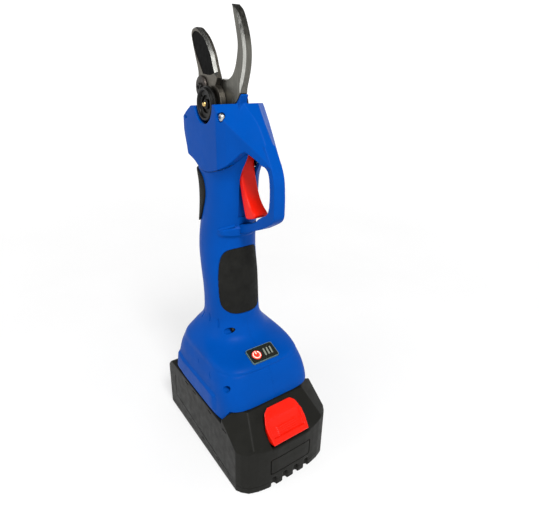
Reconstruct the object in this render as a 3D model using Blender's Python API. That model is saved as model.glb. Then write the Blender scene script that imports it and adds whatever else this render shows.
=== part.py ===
"""Battery electric pruner, built as separate parts. Lengths below are millimetres; MM turns them to metres.

Frame: +Z up, origin on the table under the middle of the battery, front (trigger side) towards -Y.
"""
import math

import bmesh
import bpy
from mathutils import Matrix, Vector

MM = 0.001
GAP = 0.3

# battery pack
BAT_HALF_W = 37.5
BAT_HALF_L = 61.5
BAT_WALL = 2.4
BAT_SPLIT_Z = 5.0
BAT_TOP_Z = 45.0
BAT_HUMP_Z = 54.2
LATCH_TRAVEL = 2.2
CELL_R = 9.0
CELL_HALF_L = 32.5
CELL_PITCH = 18.6
CELL_ROWS_Z = (12.6, 31.3)
# handle
SHELL_WALL = 2.3
AXIS_Y = 16.5
# head
PIVOT_Z = 241.5
COVER_HALF_W = 17.0
COVER_WALL = 2.7
# blades: side planes
FIXED_X = (-7.5, -2.7)
MOVING_X = (-11.3, -7.8)
# gears
BEVEL_PINION_TEETH = 10
BEVEL_WHEEL_TEETH = 52
BEVEL_PINION_R = 5.0
BEVEL_WHEEL_R = 26.0
BEVEL_INNER = 0.79
RING_TEETH = 36
SUN_TEETH = 12
PLANET_TEETH = 12
PLANET_MODULE = 0.6
RING_Z = (185.6, 193.6)

# outside of the handle and foot: height, centre y, half width, half depth, squareness
HANDLE_SECTIONS = (
    (45.3, 4.5, 37.0, 44.5, 5.5),
    (58.0, 4.0, 36.2, 44.0, 5.2),
    (68.0, 4.6, 34.9, 41.8, 4.8),
    (75.0, 5.5, 33.2, 39.2, 4.3),
    (80.0, 6.3, 32.2, 36.9, 3.8),
    (84.6, 11.8, 28.4, 29.4, 3.3),
    (88.5, 14.8, 25.0, 25.0, 2.8),
    (93.0, 15.1, 21.6, 22.3, 2.45),
    (98.0, 15.6, 19.4, 21.1, 2.25),
    (106.0, 16.0, 18.8, 21.0, 2.15),
    (118.0, 16.7, 18.8, 21.1, 2.1),
    (131.0, 18.3, 19.0, 21.5, 2.1),
    (145.0, 20.2, 18.8, 21.3, 2.1),
    (156.0, 20.0, 18.2, 21.3, 2.1),
    (168.0, 18.2, 17.4, 21.4, 2.1),
    (182.0, 16.5, 16.8, 21.9, 2.15),
    (193.0, 16.3, 16.7, 22.5, 2.2),
    (201.0, 16.8, 16.6, 24.2, 2.3),
    (207.0, 15.2, 16.5, 25.8, 2.3),
    (213.0, 13.1, 16.4, 27.9, 2.4),
    (220.0, 11.3, 16.4, 29.7, 2.4),
)

COVER_BODY = (
    (-10, 243.5), (33, 239.7), (48, 231), (40, 209.3), (31, 206.5), (24, 203), (16, 201.9),
    (7, 203.6), (-4, 207.8), (-11, 212.6), (-15.5, 216.8), (-19, 218.6), (-24, 216), (-30, 212),
    (-36, 212), (-29, 222.5), (-20, 234))
COVER_PLAN = (
    (48.2, 14.5), (45, 16.5), (40, 17), (1, 17), (-6.7, 14.8), (-17, 10.9), (-26, 7.2), (-32, 4.9),
    (-37, 3.8))
GUARD_LOOP = (
    (-18, 226), (-19.5, 217.5), (-24, 212.6), (-30, 211), (-33, 208.3), (-34.5, 201), (-34.6, 193),
    (-33.6, 187), (-31, 183.8), (-27.5, 182), (-23.5, 179.4), (-19.5, 176.2), (-11.3, 172.9), (-1.3, 169.6),
    (-1.3, 163.2), (-8, 165.8), (-26, 173.6), (-36, 179.5), (-39, 182.5), (-39.8, 186), (-39.6, 197),
    (-38.5, 206), (-36, 212), (-29, 222.5))
GUARD_HALF_W = 3.8

SEAM = (
    (60, 209.6), (40, 209.3), (31, 206.5), (24, 203), (16, 201.9), (7, 203.6), (-4, 207.8),
    (-11, 212.6), (-15.5, 216.8), (-19, 218.6), (-60, 219))

FIXED_BLADE = (
    (-2.8, 291.9), (-4.1, 287.5), (-5.9, 281.9), (-7.4, 275.8), (-7.7, 272.0), (-7.1, 267.6),
    (-5.5, 262.6), (-2.8, 258.6), (0.6, 256.3), (4.8, 255.3), (12.0, 255.6), (20.5, 254.6), (26.5, 251.0),
    (30.0, 245.5), (30.8, 239.5), (29.0, 233.0), (24.2, 228.6), (16.5, 226.8), (8.8, 228.6), (2.6, 233.5),
    (-3.0, 240.6), (-10.2, 248.8), (-10.6, 251.5), (-12.5, 256.4), (-14.3, 262.0), (-14.9, 268.5),
    (-13.8, 275.2), (-11.3, 281.6), (-7.2, 288.8))
MOVING_BLADE = (
    (33.2, 282.9), (37.0, 282.0), (38.7, 279.2), (37.8, 274.8), (35.8, 269.4), (33.7, 264.2), (31.9, 259.4),
    (31.4, 255.5), (31.8, 250.5), (30.2, 245.5), (28.9, 240.5), (27.8, 235.5), (25.0, 231.4), (19.4, 228.2),
    (15.6, 216.5), (10.9, 217.1), (6.3, 218.7), (2.2, 221.0), (-1.5, 224.1), (1.8, 231.0), (4.3, 237.6),
    (4.2, 243.0), (5.3, 246.8), (7.6, 250.1), (10.7, 252.2), (8.4, 256.0), (9.4, 258.2), (11.6, 262.7),
    (13.1, 266.8), (15.2, 270.4), (18.4, 274.6), (21.8, 277.8), (26.5, 280.8), (29.8, 282.4))
TRIGGER = (
    (-6.2, 213.0), (-6.8, 206), (-8.4, 200), (-12.4, 190.5), (-16.6, 185.2), (-20.6, 182.4), (-21.8, 180.9),
    (-20.6, 179.2), (-15, 177.2), (-12.4, 176.8), (-10.9, 178.4), (-7.4, 188.5), (-4.2, 200), (-1.6, 208),
    (-0.2, 211), (-0.4, 216.4), (-3.4, 218.0), (-5.8, 216.6))
TRIGGER_PIVOT = (-3.2, 214.0)
TRIGGER_HALF_W = 5.0


def material(name, colour, roughness, metallic=0.0):
    mat = bpy.data.materials.new(name)
    mat.use_nodes = True
    shader = mat.node_tree.nodes["Principled BSDF"]
    shader.inputs["Base Color"].default_value = (*colour, 1.0)
    shader.inputs["Roughness"].default_value = roughness
    shader.inputs["Metallic"].default_value = metallic
    return mat


BLUE = ((0.006, 0.095, 0.52), 0.42)
RED = ((0.80, 0.035, 0.012), 0.38)
CHARCOAL = ((0.022, 0.022, 0.024), 0.5)
RUBBER = ((0.012, 0.012, 0.012), 0.8)
STEEL = ((0.42, 0.42, 0.41), 0.32, 1.0)
DARK_STEEL = ((0.035, 0.035, 0.037), 0.4, 0.9)
ALUMINIUM = ((0.60, 0.61, 0.62), 0.42, 1.0)
BOARD = ((0.010, 0.085, 0.035), 0.5)
CELL = ((0.05, 0.22, 0.32), 0.35)
BRASS = ((0.55, 0.38, 0.14), 0.35, 1.0)
PALE = ((0.62, 0.62, 0.58), 0.35)
NATURAL = ((0.30, 0.29, 0.27), 0.55)


def build(name, verts, faces, look):
    """New object from points in millimetres."""
    mesh = bpy.data.meshes.new(name)
    mesh.from_pydata([Vector(v) * MM for v in verts], [], faces)
    bm = bmesh.new()
    bm.from_mesh(mesh)
    bmesh.ops.recalc_face_normals(bm, faces=bm.faces)
    bm.to_mesh(mesh)
    bm.free()
    obj = bpy.data.objects.new(name, mesh)
    bpy.context.scene.collection.objects.link(obj)
    if look:
        mesh.materials.append(material(name + "_look", *look))
    return obj


def paint(obj, look):
    """One material on the whole piece."""
    obj.data.materials.clear()
    obj.data.materials.append(material(obj.name + "_look", *look))
    for face in obj.data.polygons:
        face.material_index = 0
    return obj


def on_axis(axis, a, b, h):
    """Point with a, b in the plane across the axis and h along it."""
    return {"X": (h, a, b), "Y": (a, h, b), "Z": (a, b, h)}[axis]


def prism(name, outline, axis, low, high, look=None):
    n = len(outline)
    verts = [on_axis(axis, a, b, low) for a, b in outline] + [on_axis(axis, a, b, high) for a, b in outline]
    faces = [tuple(range(n)), tuple(range(n, 2 * n))]
    faces += [(i, (i + 1) % n, n + (i + 1) % n, n + i) for i in range(n)]
    return build(name, verts, faces, look)


def box(name, x, y, z, look=None):
    return prism(name, [(x[0], y[0]), (x[1], y[0]), (x[1], y[1]), (x[0], y[1])], "Z", z[0], z[1], look)


def lathe(name, profile, axis, centre, segments, look=None, turn=0.0):
    """Turn a closed outline of (radius, height) round a line along the axis through centre."""
    rings, verts = [], []
    for r, h in profile:
        if r < 1e-6:
            rings.append([len(verts)] * segments)
            verts.append(on_axis(axis, centre[0], centre[1], h))
            continue
        rings.append(list(range(len(verts), len(verts) + segments)))
        for k in range(segments):
            t = turn + 2 * math.pi * k / segments
            verts.append(on_axis(axis, centre[0] + r * math.cos(t), centre[1] + r * math.sin(t), h))
    faces = []
    for i, ring in enumerate(rings):
        nxt = rings[(i + 1) % len(rings)]
        if len(set(ring)) == 1 and len(set(nxt)) == 1:
            continue
        for k in range(segments):
            m = (k + 1) % segments
            quad = [ring[k], ring[m], nxt[m], nxt[k]]
            faces.append(tuple(dict.fromkeys(quad)))
    return build(name, verts, faces, look)


def loft(name, rings, look=None):
    n = len(rings[0])
    verts = [p for ring in rings for p in ring]
    faces = [tuple(range(n)), tuple(range(len(verts) - n, len(verts)))]
    for i in range(len(rings) - 1):
        for k in range(n):
            m = (k + 1) % n
            faces.append((i * n + k, i * n + m, (i + 1) * n + m, (i + 1) * n + k))
    return build(name, verts, faces, look)


def combine(obj, other, how="DIFFERENCE"):
    """Boolean of obj with other, which is used up."""
    step = obj.modifiers.new("combine", "BOOLEAN")
    step.operation = how
    step.solver = "EXACT"
    step.object = other
    bpy.context.view_layer.update()
    mesh = bpy.data.meshes.new_from_object(obj.evaluated_get(bpy.context.evaluated_depsgraph_get()))
    obj.modifiers.clear()
    obj.data = mesh
    bpy.data.objects.remove(other)
    return obj


def cut(obj, *cutters):
    for other in cutters:
        combine(obj, other)
    return obj


def half_space(point, normal, size=160.0):
    """Block lying beyond the plane through point, on the side the normal points to."""
    obj = box("cutter", (-size, size), (-size, size), (0, size))
    turn = Vector(normal).to_track_quat("Z", "Y").to_matrix().to_4x4()
    obj.data.transform(Matrix.Translation(Vector(point) * MM) @ turn)
    return obj


def weld(obj):
    """Join split points left by the cuts."""
    bm = bmesh.new()
    bm.from_mesh(obj.data)
    bmesh.ops.remove_doubles(bm, verts=bm.verts, dist=2e-6)
    bmesh.ops.dissolve_degenerate(bm, dist=1e-6, edges=bm.edges)
    bm.to_mesh(obj.data)
    bm.free()


def tidy(obj, smooth=None):
    """Clean up after the cuts and shade round surfaces smooth."""
    weld(obj)
    if smooth:
        obj.data.shade_smooth()
        obj.data.set_sharp_from_angle(angle=math.radians(smooth))
    return obj


def set_origin(obj, point):
    where = Vector(point) * MM
    obj.data.transform(Matrix.Translation(-where))
    obj.location = where
    return obj


def front_squareness(z, n):
    """Squareness of the front half: the shoulder under the neck is rounder in front than behind."""
    return n + (2.0 - n) * max(0.0, 1.0 - abs(z - 86.5) / 10.0)


def section(z, yc, a, b, n, inset, count):
    points = []
    for k in range(count):
        t = 2 * math.pi * (k + 0.5) / count
        c, s = math.cos(t), math.sin(t)
        m = n if s > 0 else front_squareness(z, n)
        x = (a - inset) * math.copysign(abs(c) ** (2 / m), c)
        y = (b - inset) * math.copysign(abs(s) ** (2 / m), s)
        points.append((x, yc + y, z))
    return points


def handle_solid(name, inset, low, high, count):
    """Solid inside the handle's outline, moved in by inset, from low to high."""
    rows = [s for s in HANDLE_SECTIONS if low + 0.5 < s[0] < high - 0.5]
    rows = [blend_section(low)] + rows + [blend_section(high)]
    return loft(name, [section(z, yc, a, b, n, inset, count) for z, yc, a, b, n in rows])


def blend_section(z):
    rows = HANDLE_SECTIONS
    z_in = min(max(z, rows[0][0]), rows[-1][0])
    for lo, hi in zip(rows, rows[1:]):
        if z_in <= hi[0]:
            t = (z_in - lo[0]) / (hi[0] - lo[0])
            return (z,) + tuple(p + (q - p) * t for p, q in zip(lo[1:], hi[1:]))
    return (z,) + rows[-1][1:]


def above_seam(shift):
    """Everything above the S-shaped joint line between handle and head cover."""
    line = [(y, z + shift) for y, z in SEAM]
    return prism("cutter", line + [(-60, 330), (60, 330)], "X", -60, 60)


def mirrored(half):
    """Outline made of a right half and its mirror image."""
    return half + [(-x, y) for x, y in reversed(half)]


def battery_plan(inset=0.0):
    """Battery seen from above; the hollow inside has plainer corners."""
    w, l = BAT_HALF_W - inset, BAT_HALF_L - inset
    if inset:
        return mirrored([(w - 7, l), (w, l - 7), (w, -l + 10), (w - 8, -l + 3), (w - 18.5, -l + 0.6)])
    return mirrored([(w - 7, l), (w - 2.4, l - 2.2), (w, l - 7), (w, -l + 11.5), (w - 2.0, -l + 8.2),
                     (w - 5.9, -l + 4.3), (w - 11.7, -l + 2.1), (w - 17.4, -l + 0.9), (w - 25.5, -l)])


def cut_corners(obj, inset):
    """Slope the front edge, the front corners and the rear edge of the battery's top."""
    cut(obj, half_space((0, -BAT_HALF_L + inset, 34.4 - inset), (0, -0.70, 0.714)))
    cut(obj, half_space((0, BAT_HALF_L - inset, 35.0 - inset), (0, 0.62, 0.785)))
    for side in (-1, 1):
        corner = (side * (BAT_HALF_W - inset), -54.5 + inset, 33.5 - inset)
        cut(obj, half_space(corner, (side * 0.52, -0.50, 0.69)))


def foot_notches(obj):
    for x in (-13.9, -4.6, 4.6, 13.9):
        outline = [(x - 2.3, -70), (x + 2.3, -70), (x + 1.7, -59.2), (x - 1.7, -59.2)]
        cut(obj, prism("cutter", outline, "Z", -1, 8.2))


def make_battery_lower_case():
    obj = prism("battery_lower_case", battery_plan(), "Z", 0, BAT_SPLIT_Z, CHARCOAL)
    cut(obj, prism("cutter", battery_plan(BAT_WALL + 2.2), "Z", 2.4, 20))
    foot_notches(obj)
    return tidy(obj, 35)


def make_battery_upper_case():
    obj = prism("battery_upper_case", battery_plan(), "Z", BAT_SPLIT_Z + GAP, BAT_HUMP_Z, CHARCOAL)
    behind = [(-31.8, BAT_TOP_Z), (-31.8, 48), (-34.8, 54.6), (-34.8, 80), (80, 80), (80, BAT_TOP_Z)]
    cut(obj, prism("cutter", behind, "X", -60, 60))
    cut_corners(obj, 0.0)
    rail = box("rail", (-22, 22), (-32.5, 30), (BAT_TOP_Z - 1, 50))
    combine(rail, box("flange", (-26, 26), (-34, 30), (49.9, 53.2)), "UNION")
    combine(obj, rail, "UNION")
    cut(obj, box("cutter", (-14.6, 14.6), (8, 40), (BAT_TOP_Z - 3.6, 60)))
    inner = prism("cutter", battery_plan(BAT_WALL), "Z", -5, BAT_TOP_Z - BAT_WALL)
    cut_corners(inner, 1.7)
    cut(obj, inner)
    combine(obj, box("spring_seat", (-36, 36), (-52, -45.3), (31.0, 33.0)), "UNION")
    cut(obj, prism("cutter", latch_plan(0.5, 12.0), "Z", 33.6, 80))
    foot_notches(obj)
    return tidy(obj, 35)


def latch_plan(grow=0.0, forward=0.0):
    """Latch button seen from above, or the opening left for it."""
    return mirrored([(9.4 + grow, -44.6 + grow), (12.8 + grow, -46.6 + grow), (15.2 + grow, -51.5),
                     (15.4 + grow, -55.5), (14.4 + grow, -61.2 - forward)])


def make_latch():
    side = [(-44.6, 54.0), (-61.2, 37.6), (-61.2, 36.6), (-56, 36.6), (-51.6, 41.4), (-44.6, 41.4)]
    obj = prism("battery_latch_button", side, "X", -16, 16)
    combine(obj, prism("cutter", latch_plan(), "Z", 20, 70), "INTERSECT")
    scoop = prism("cutter", [(-47.3, 60), (-50.4, 47.0), (-52.6, 44.2), (-66, 31.5), (-70, 60)], "X", -11.6, 11.6)
    cut(scoop, half_space((0, -58.8, 40.0), (0, -0.70, -0.714)))
    cut(obj, scoop)
    paint(obj, RED)
    return set_origin(tidy(obj, 30), (0, -53, 45))


def coil(name, centre, radius, wire, low, high, turns, look, steps=9, sides=5):
    """Round wire wound round a vertical line."""
    count = int(turns * steps)
    verts, faces = [], []
    for i in range(count + 1):
        t = 2 * math.pi * i / steps
        z = low + wire + (high - low - 2 * wire) * i / count
        for k in range(sides):
            u = 2 * math.pi * k / sides
            r = radius + wire * math.cos(u)
            verts.append((centre[0] + r * math.cos(t), centre[1] + r * math.sin(t), z + wire * math.sin(u)))
    for i in range(count):
        for k in range(sides):
            m = (k + 1) % sides
            faces.append((i * sides + k, i * sides + m, (i + 1) * sides + m, (i + 1) * sides + k))
    faces += [tuple(range(sides)), tuple(range(count * sides, (count + 1) * sides))]
    return build(name, verts, faces, look)


def make_battery_inside():
    for row, z in enumerate(CELL_ROWS_Z):
        for col in range(5):
            y = (col - 2) * CELL_PITCH + 3.0
            name = "battery_cell_%02d" % (row * 5 + col + 1)
            profile = [(0, -CELL_HALF_L), (CELL_R, -CELL_HALF_L), (CELL_R, CELL_HALF_L), (0, CELL_HALF_L)]
            tidy(lathe(name, profile, "X", (y, z), 12, CELL), 40)
    frame = box("battery_cell_frame", (-2.0, 2.0), (-43.9, 49.7), (2.9, 40.8), NATURAL)
    for z in CELL_ROWS_Z:
        for col in range(5):
            cut(frame, lathe("cutter", [(0, -5), (CELL_R + 0.2, -5), (CELL_R + 0.2, 5), (0, 5)], "X",
                             ((col - 2) * CELL_PITCH + 3.0, z), 12))
    tidy(frame, 40)
    block = box("battery_contact_block", (-14.2, 14.2), (8.4, 29.8), (BAT_TOP_Z - 3.2, 52.6), CHARCOAL)
    for x in (-9.5, 9.5):
        cut(block, box("cutter", (x - 1.0, x + 1.0), (14, 40), (47.2, 60)))
    tidy(block)
    box("battery_circuit_board", (-26, 26), (-38, 6.5), (41.1, 42.3), BOARD)
    coil("battery_latch_spring", (0, -48.4), 2.4, 0.4, 33.3, 41.1, 4, STEEL)


def pad_region(rear, grow):
    """Side-view outline of a rubber pad, extruded across the handle."""
    if rear:
        line = [(60, 200 + grow), (30, 201 + grow), (21.5 - grow, 198), (17.8 - grow, 190), (20.0 - grow, 180),
                (29 - grow, 166.3 - grow), (60, 162 - grow)]
    else:
        line = [(-20, 155.5 + grow), (-2, 153.5 + grow), (3.4 + grow, 150.5), (6.1 + grow, 143), (5.9 + grow, 127),
                (4.2 + grow, 112), (0.5, 107.4 - grow), (-4, 105.4 - grow), (-20, 105.0 - grow)]
    return prism("cutter", line, "X", -40, 40)


PAD_DEPTH = 1.3
PAD_SPAN = {True: (156, 206), False: (98, 162)}
PAD_RISE = {True: 1.2, False: 0.0}


def make_pad(name, rear):
    low, high = PAD_SPAN[rear]
    obj = handle_solid(name, -PAD_RISE[rear], low, high, 24)
    cut(obj, handle_solid("cutter", PAD_DEPTH, low - 1, high + 1, 24))
    combine(obj, pad_region(rear, 0.0), "INTERSECT")
    paint(obj, RUBBER)
    return tidy(obj, 40)


def make_shell(name, side, solid):
    """One half of the handle and foot; side is -1 for left and 1 for right."""
    obj = solid.copy()
    obj.data = solid.data.copy()
    obj.name = name
    bpy.context.scene.collection.objects.link(obj)
    cut(obj, box("cutter", tuple(sorted((-side * 80, side * GAP / 2))), (-80, 80), (0, 330)))
    rail = box("rail", tuple(sorted((side * 35.4, side * 23.3))), (-24, 33), (46.2, 49.5))
    combine(obj, rail, "UNION")
    paint(obj, BLUE)
    return tidy(obj, 32)


PANEL_CENTRE = (0.0, -24.7, 82.5)
PANEL_NORMAL = Vector((0.0, -0.33, 0.944)).normalized()
PANEL_HALF = (10.6, 6.0)


def on_panel(obj):
    """Move an object drawn on the XY plane about the origin onto the panel's slope."""
    x = Vector((1, 0, 0))
    y = PANEL_NORMAL.cross(x)
    turn = Matrix((x, y, PANEL_NORMAL)).transposed().to_4x4()
    obj.data.transform(Matrix.Translation(Vector(PANEL_CENTRE) * MM) @ turn)
    return obj


def rounded(hx, hy, r, steps=3):
    points = []
    for cx, cy, start in ((hx - r, hy - r, 0), (-hx + r, hy - r, 90), (-hx + r, -hy + r, 180), (hx - r, -hy + r, 270)):
        for k in range(steps + 1):
            t = math.radians(start + 90 * k / steps)
            points.append((cx + r * math.cos(t), cy + r * math.sin(t)))
    return points


def circle(r, count, centre=(0, 0)):
    return [(centre[0] + r * math.cos(2 * math.pi * k / count), centre[1] + r * math.sin(2 * math.pi * k / count))
            for k in range(count)]


BUTTON_AT = (-4.6, 0.0)
LIGHTS_AT = (2.0, 4.6, 7.2)


def make_panel():
    panel = on_panel(prism("status_panel", rounded(*PANEL_HALF, 1.6), "Z", -1.6, 0.5, CHARCOAL))
    cut(panel, on_panel(prism("cutter", circle(3.75, 20, BUTTON_AT), "Z", -5, 5)))
    for x in LIGHTS_AT:
        bar = [(x - 0.85, -3.1), (x + 0.85, -3.1), (x + 0.85, 3.1), (x - 0.85, 3.1)]
        cut(panel, on_panel(prism("cutter", bar, "Z", -5, 5)))
    tidy(panel)
    for k, x in enumerate(LIGHTS_AT):
        bar = [(x - 0.6, -2.85), (x + 0.6, -2.85), (x + 0.6, 2.85), (x - 0.6, 2.85)]
        tidy(on_panel(prism("charge_light_%d" % (k + 1), bar, "Z", -2.1, 0.45, PALE)))
    button = on_panel(lathe("power_button", [(0, -1.6), (3.4, -1.6), (3.4, 0.7), (2.9, 1.0), (2.2, 0.7), (0, 0.7)],
                            "Z", BUTTON_AT, 20, RED))
    board = on_panel(prism("status_board", rounded(9.6, 5.2, 0.8), "Z", -4.0, -2.9, BOARD))
    tidy(board)
    return tidy(button, 35)


def screw(name, head_at, length, head_r, look):
    """Screw along X, head on the left, shank running to the right."""
    x, y, z = head_at
    shank = head_r * 0.52
    profile = [(0, x + 0.9), (head_r * 0.42, x + 0.9), (head_r * 0.42, x), (head_r * 0.85, x),
               (head_r, x + 0.5), (head_r, x + 1.7), (shank, x + 2.2), (shank, x + length - 1), (0, x + length)]
    return tidy(lathe(name, profile, "X", (y, z), 12, look), 35)


# name, height, y, how deep the head sits
SHELL_SCREWS = (("shell_screw_neck", 93.4, -3.0, 2.2), ("shell_screw_foot_front", 69.0, -29.2, 10.0))


def outer_half_width(z, y):
    _, yc, a, b, n = blend_section(z)
    m = n if y > yc else front_squareness(z, n)
    return a * (1 - min(abs((y - yc) / b), 0.999) ** m) ** (1 / m)


def add_screw_boss(solid, name, z, y, depth):
    """Boss in each shell, a stepped hole through both, and the screw in it."""
    wide = outer_half_width(z, y)
    head_x = -wide + depth
    for low, high, r in ((-80, -0.6, 4.7), (0.6, 80, 3.6)):
        boss = lathe("boss", [(0, low), (r, low), (r, high), (0, high)], "X", (y, z), 12, turn=0.11)
        combine(boss, handle_solid("cutter", 1.1, 45.3, 219, 24), "INTERSECT")
        combine(solid, boss, "UNION")
    hole = [(0, -80), (2.5, -80), (2.5, head_x + 2.4), (1.55, head_x + 2.8), (1.55, 6.5), (0, 6.5)]
    cut(solid, lathe("cutter", hole, "X", (y, z), 12, turn=0.05))
    weld(solid)
    screw(name, (head_x, y, z), 5.2 - head_x, 2.1, DARK_STEEL)


def make_shells():
    solid = handle_solid("solid", 0.0, 45.3, 220, 28)
    cut(solid, inner_solid())
    cut(solid, above_seam(-GAP))
    front_low = [(-80, 30), (-31.5, 30), (-31.5, 48), (-34.5, 54.6), (-80, 54.6)]
    cut(solid, prism("cutter", front_low, "X", -60, 60))
    for screw_row in SHELL_SCREWS:
        add_screw_boss(solid, *screw_row)
    for rear in (True, False):
        low, high = PAD_SPAN[rear]
        band = handle_solid("band", -2.0, low, high, 24)
        cut(band, handle_solid("cutter", PAD_DEPTH + GAP, low - 6, high + 6, 24))
        combine(band, pad_region(rear, GAP), "INTERSECT")
        cut(solid, band)
    slot = TRIGGER_HALF_W + 0.5
    cut(solid, box("cutter", (-slot, slot), (-30, 2.6), (175.3, 230)))
    cut(solid, box("cutter", (-GUARD_HALF_W - GAP, GUARD_HALF_W + GAP), (-30, -1.0), (161.4, 175.8)))
    cut(solid, on_panel(prism("cutter", rounded(PANEL_HALF[0] + GAP, PANEL_HALF[1] + GAP, 1.8), "Z", -8, 12)))
    weld(solid)
    make_shell("handle_shell_left", -1, solid)
    make_shell("handle_shell_right", 1, solid)
    bpy.data.objects.remove(solid)


def inner_solid():
    """Space inside the handle and foot, open below and above."""
    rows = [(30.0,) + blend_section(45.3)[1:]] + [s for s in HANDLE_SECTIONS if 50 < s[0] < 219]
    rows.append((240.0,) + HANDLE_SECTIONS[-1][1:])
    return loft("cutter", [section(z, yc, a, b, n, SHELL_WALL, 20) for z, yc, a, b, n in rows])


def plan_outline(points):
    """Outline seen from above, from (y, half width) pairs."""
    return mirrored([(x, y) for y, x in points])


CHAMFER_POINT = (4.7, -10.0, 243.5)
CHAMFER_WALL = 1.3
CHAMFER_NORMAL = (0.667, -0.586, 0.461)


def make_head_cover():
    obj = prism("head_cover", COVER_BODY, "X", -COVER_HALF_W, COVER_HALF_W)
    combine(obj, prism("cutter", plan_outline(COVER_PLAN), "Z", 150, 260), "INTERSECT")
    for side in (-1, 1):
        cut(obj, half_space((side * CHAMFER_POINT[0], *CHAMFER_POINT[1:]),
                            (side * CHAMFER_NORMAL[0], *CHAMFER_NORMAL[1:])))
    inner = [(-5.5, 240.3), (31.5, 236.7), (45, 229.0), (37.2, 206), (37, 190), (-2, 190), (-3.5, 206), (-9, 212),
             (-13, 217.5), (-14.5, 222), (-12.0, 230)]
    hollow = prism("cutter", inner, "X", -COVER_HALF_W + COVER_WALL, COVER_HALF_W - COVER_WALL)
    plan = [(46, 12.5), (42, 14.3), (3, 14.3), (-7, 11.4), (-17, 7.2)]
    combine(hollow, prism("cutter", plan_outline(plan), "Z", 150, 260), "INTERSECT")
    for side in (-1, 1):
        normal = Vector((side * CHAMFER_NORMAL[0], *CHAMFER_NORMAL[1:])).normalized()
        point = Vector((side * CHAMFER_POINT[0], *CHAMFER_POINT[1:]))
        cut(hollow, half_space(point - normal * CHAMFER_WALL, normal))
    cut(obj, hollow)
    combine(obj, prism("guard", GUARD_LOOP, "X", -GUARD_HALF_W, GUARD_HALF_W), "UNION")
    cut(obj, box("cutter", (-11.9, -7.4), (-4.6, 38), (222, 238.1)))
    cut(obj, box("cutter", (-11.8, -7.5), (-0.8, 38), (230, 262)))
    slot = [(-2.4, 222), (-2.4, 239.4), (-3.4, 240.2), (-10.9, 248.9), (-20, 262), (38, 262), (38, 222)]
    cut(obj, prism("cutter", slot, "X", -7.7, -2.3))
    cut(obj, box("cutter", (-2.5, 5.8), (3.1, 29.5), (222, 262)))
    cut(obj, box("cutter", (5.0, 11.7), (7.9, 25.1), (222, 262)))
    tongue = [(-3.5, 239.8), (-3.5, 240.4), (-10.7, 248.5), (-11.7, 248.0), (-9.8, 243.2), (-9.8, 239.8)]
    combine(obj, prism("tongue", tongue, "X", -7.3, -2.7), "UNION")
    notch = [(AXIS_Y - 11.2, 262), (AXIS_Y - 11.2, PIVOT_Z)]
    notch += [(AXIS_Y - 11.2 * math.cos(math.pi * k / 10), PIVOT_Z - 11.2 * math.sin(math.pi * k / 10))
              for k in range(1, 10)]
    notch += [(AXIS_Y + 11.2, PIVOT_Z), (AXIS_Y + 11.2, 262)]
    cut(obj, prism("cutter", notch, "X", -20, -11.5))
    trigger_room = TRIGGER_HALF_W + 0.5
    cut(obj, box("cutter", (-trigger_room, trigger_room), (-21.2, 3), (205, 223.5)))
    cut(obj, lathe("cutter", [(0, -14.6), (1.5, -14.6), (1.5, 14.6), (0, 14.6)], "X", TRIGGER_PIVOT, 12))
    hole = [(0, -20), (2.7, -20), (2.7, -13.6), (1.6, -13.6), (1.6, -9), (0, -9)]
    cut(obj, lathe("cutter", hole, "X", COVER_SCREW_AT, 12))
    paint(obj, BLUE)
    return tidy(obj, 32)


COVER_SCREW_AT = (-2.4, 235.8)
LOCK_AT = (26.4, 250.4)


def make_blades():
    fixed = prism("fixed_blade", FIXED_BLADE, "X", *FIXED_X, STEEL)
    cut(fixed, lathe("cutter", [(0, -20), (5.4, -20), (5.4, 20), (0, 20)], "X", (AXIS_Y, PIVOT_Z), 20))
    tidy(fixed, 20)
    moving = prism("moving_blade", MOVING_BLADE, "X", *MOVING_X, DARK_STEEL)
    cut(moving, lathe("cutter", [(0, -20), (5.3, -20), (5.3, 20), (0, 20)], "X", (AXIS_Y, PIVOT_Z), 20))
    cut(moving, lathe("cutter", [(0, -20), (1.9, -20), (1.9, 20), (0, 20)], "X", LOCK_AT, 12))
    set_origin(tidy(moving, 20), (0, AXIS_Y, PIVOT_Z))


def make_pivot():
    centre = (AXIS_Y, PIVOT_Z)
    bolt = lathe("pivot_bolt", [(0, 11.2), (6.4, 11.2), (7.2, 10.4), (7.2, 6.6), (5.0, 6.6), (5.0, -13.6),
                                (0, -13.6)], "X", centre, 20, DARK_STEEL)
    nut = lathe("pivot_nut", [(5.15, -16.2), (8.4, -16.2), (9.4, -15.3), (9.4, -14.2), (10.2, -14.2),
                              (10.2, -13.3), (6.2, -13.3), (6.2, -11.6), (5.15, -11.6)], "X", centre, 24, DARK_STEEL)
    washer = lathe("thrust_washer", [(5.2, 5.5), (8.2, 5.5), (8.2, 6.3), (5.2, 6.3)], "X", centre, 20, BRASS)
    cap = lathe("grease_cap", [(0, -13.9), (2.9, -13.9), (2.9, -15.6), (2.0, -16.4), (0, -16.7)], "X", centre, 14,
                BRASS)
    disc = lathe("nut_lock_disc", [(1.8, -12.9), (5.6, -12.9), (6.6, -12.4), (6.6, -11.6), (1.8, -11.6)], "X",
                 LOCK_AT, 20, DARK_STEEL)
    lock = lathe("lock_disc_screw", [(0, -14.3), (2.2, -14.3), (2.6, -13.9), (2.6, -13.2), (1.6, -13.2),
                                     (1.6, -8.2), (0, -8.2)], "X", LOCK_AT, 12, DARK_STEEL)
    for obj in (bolt, nut, washer, cap, disc, lock):
        set_origin(tidy(obj, 35), (0, AXIS_Y, PIVOT_Z))


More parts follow.
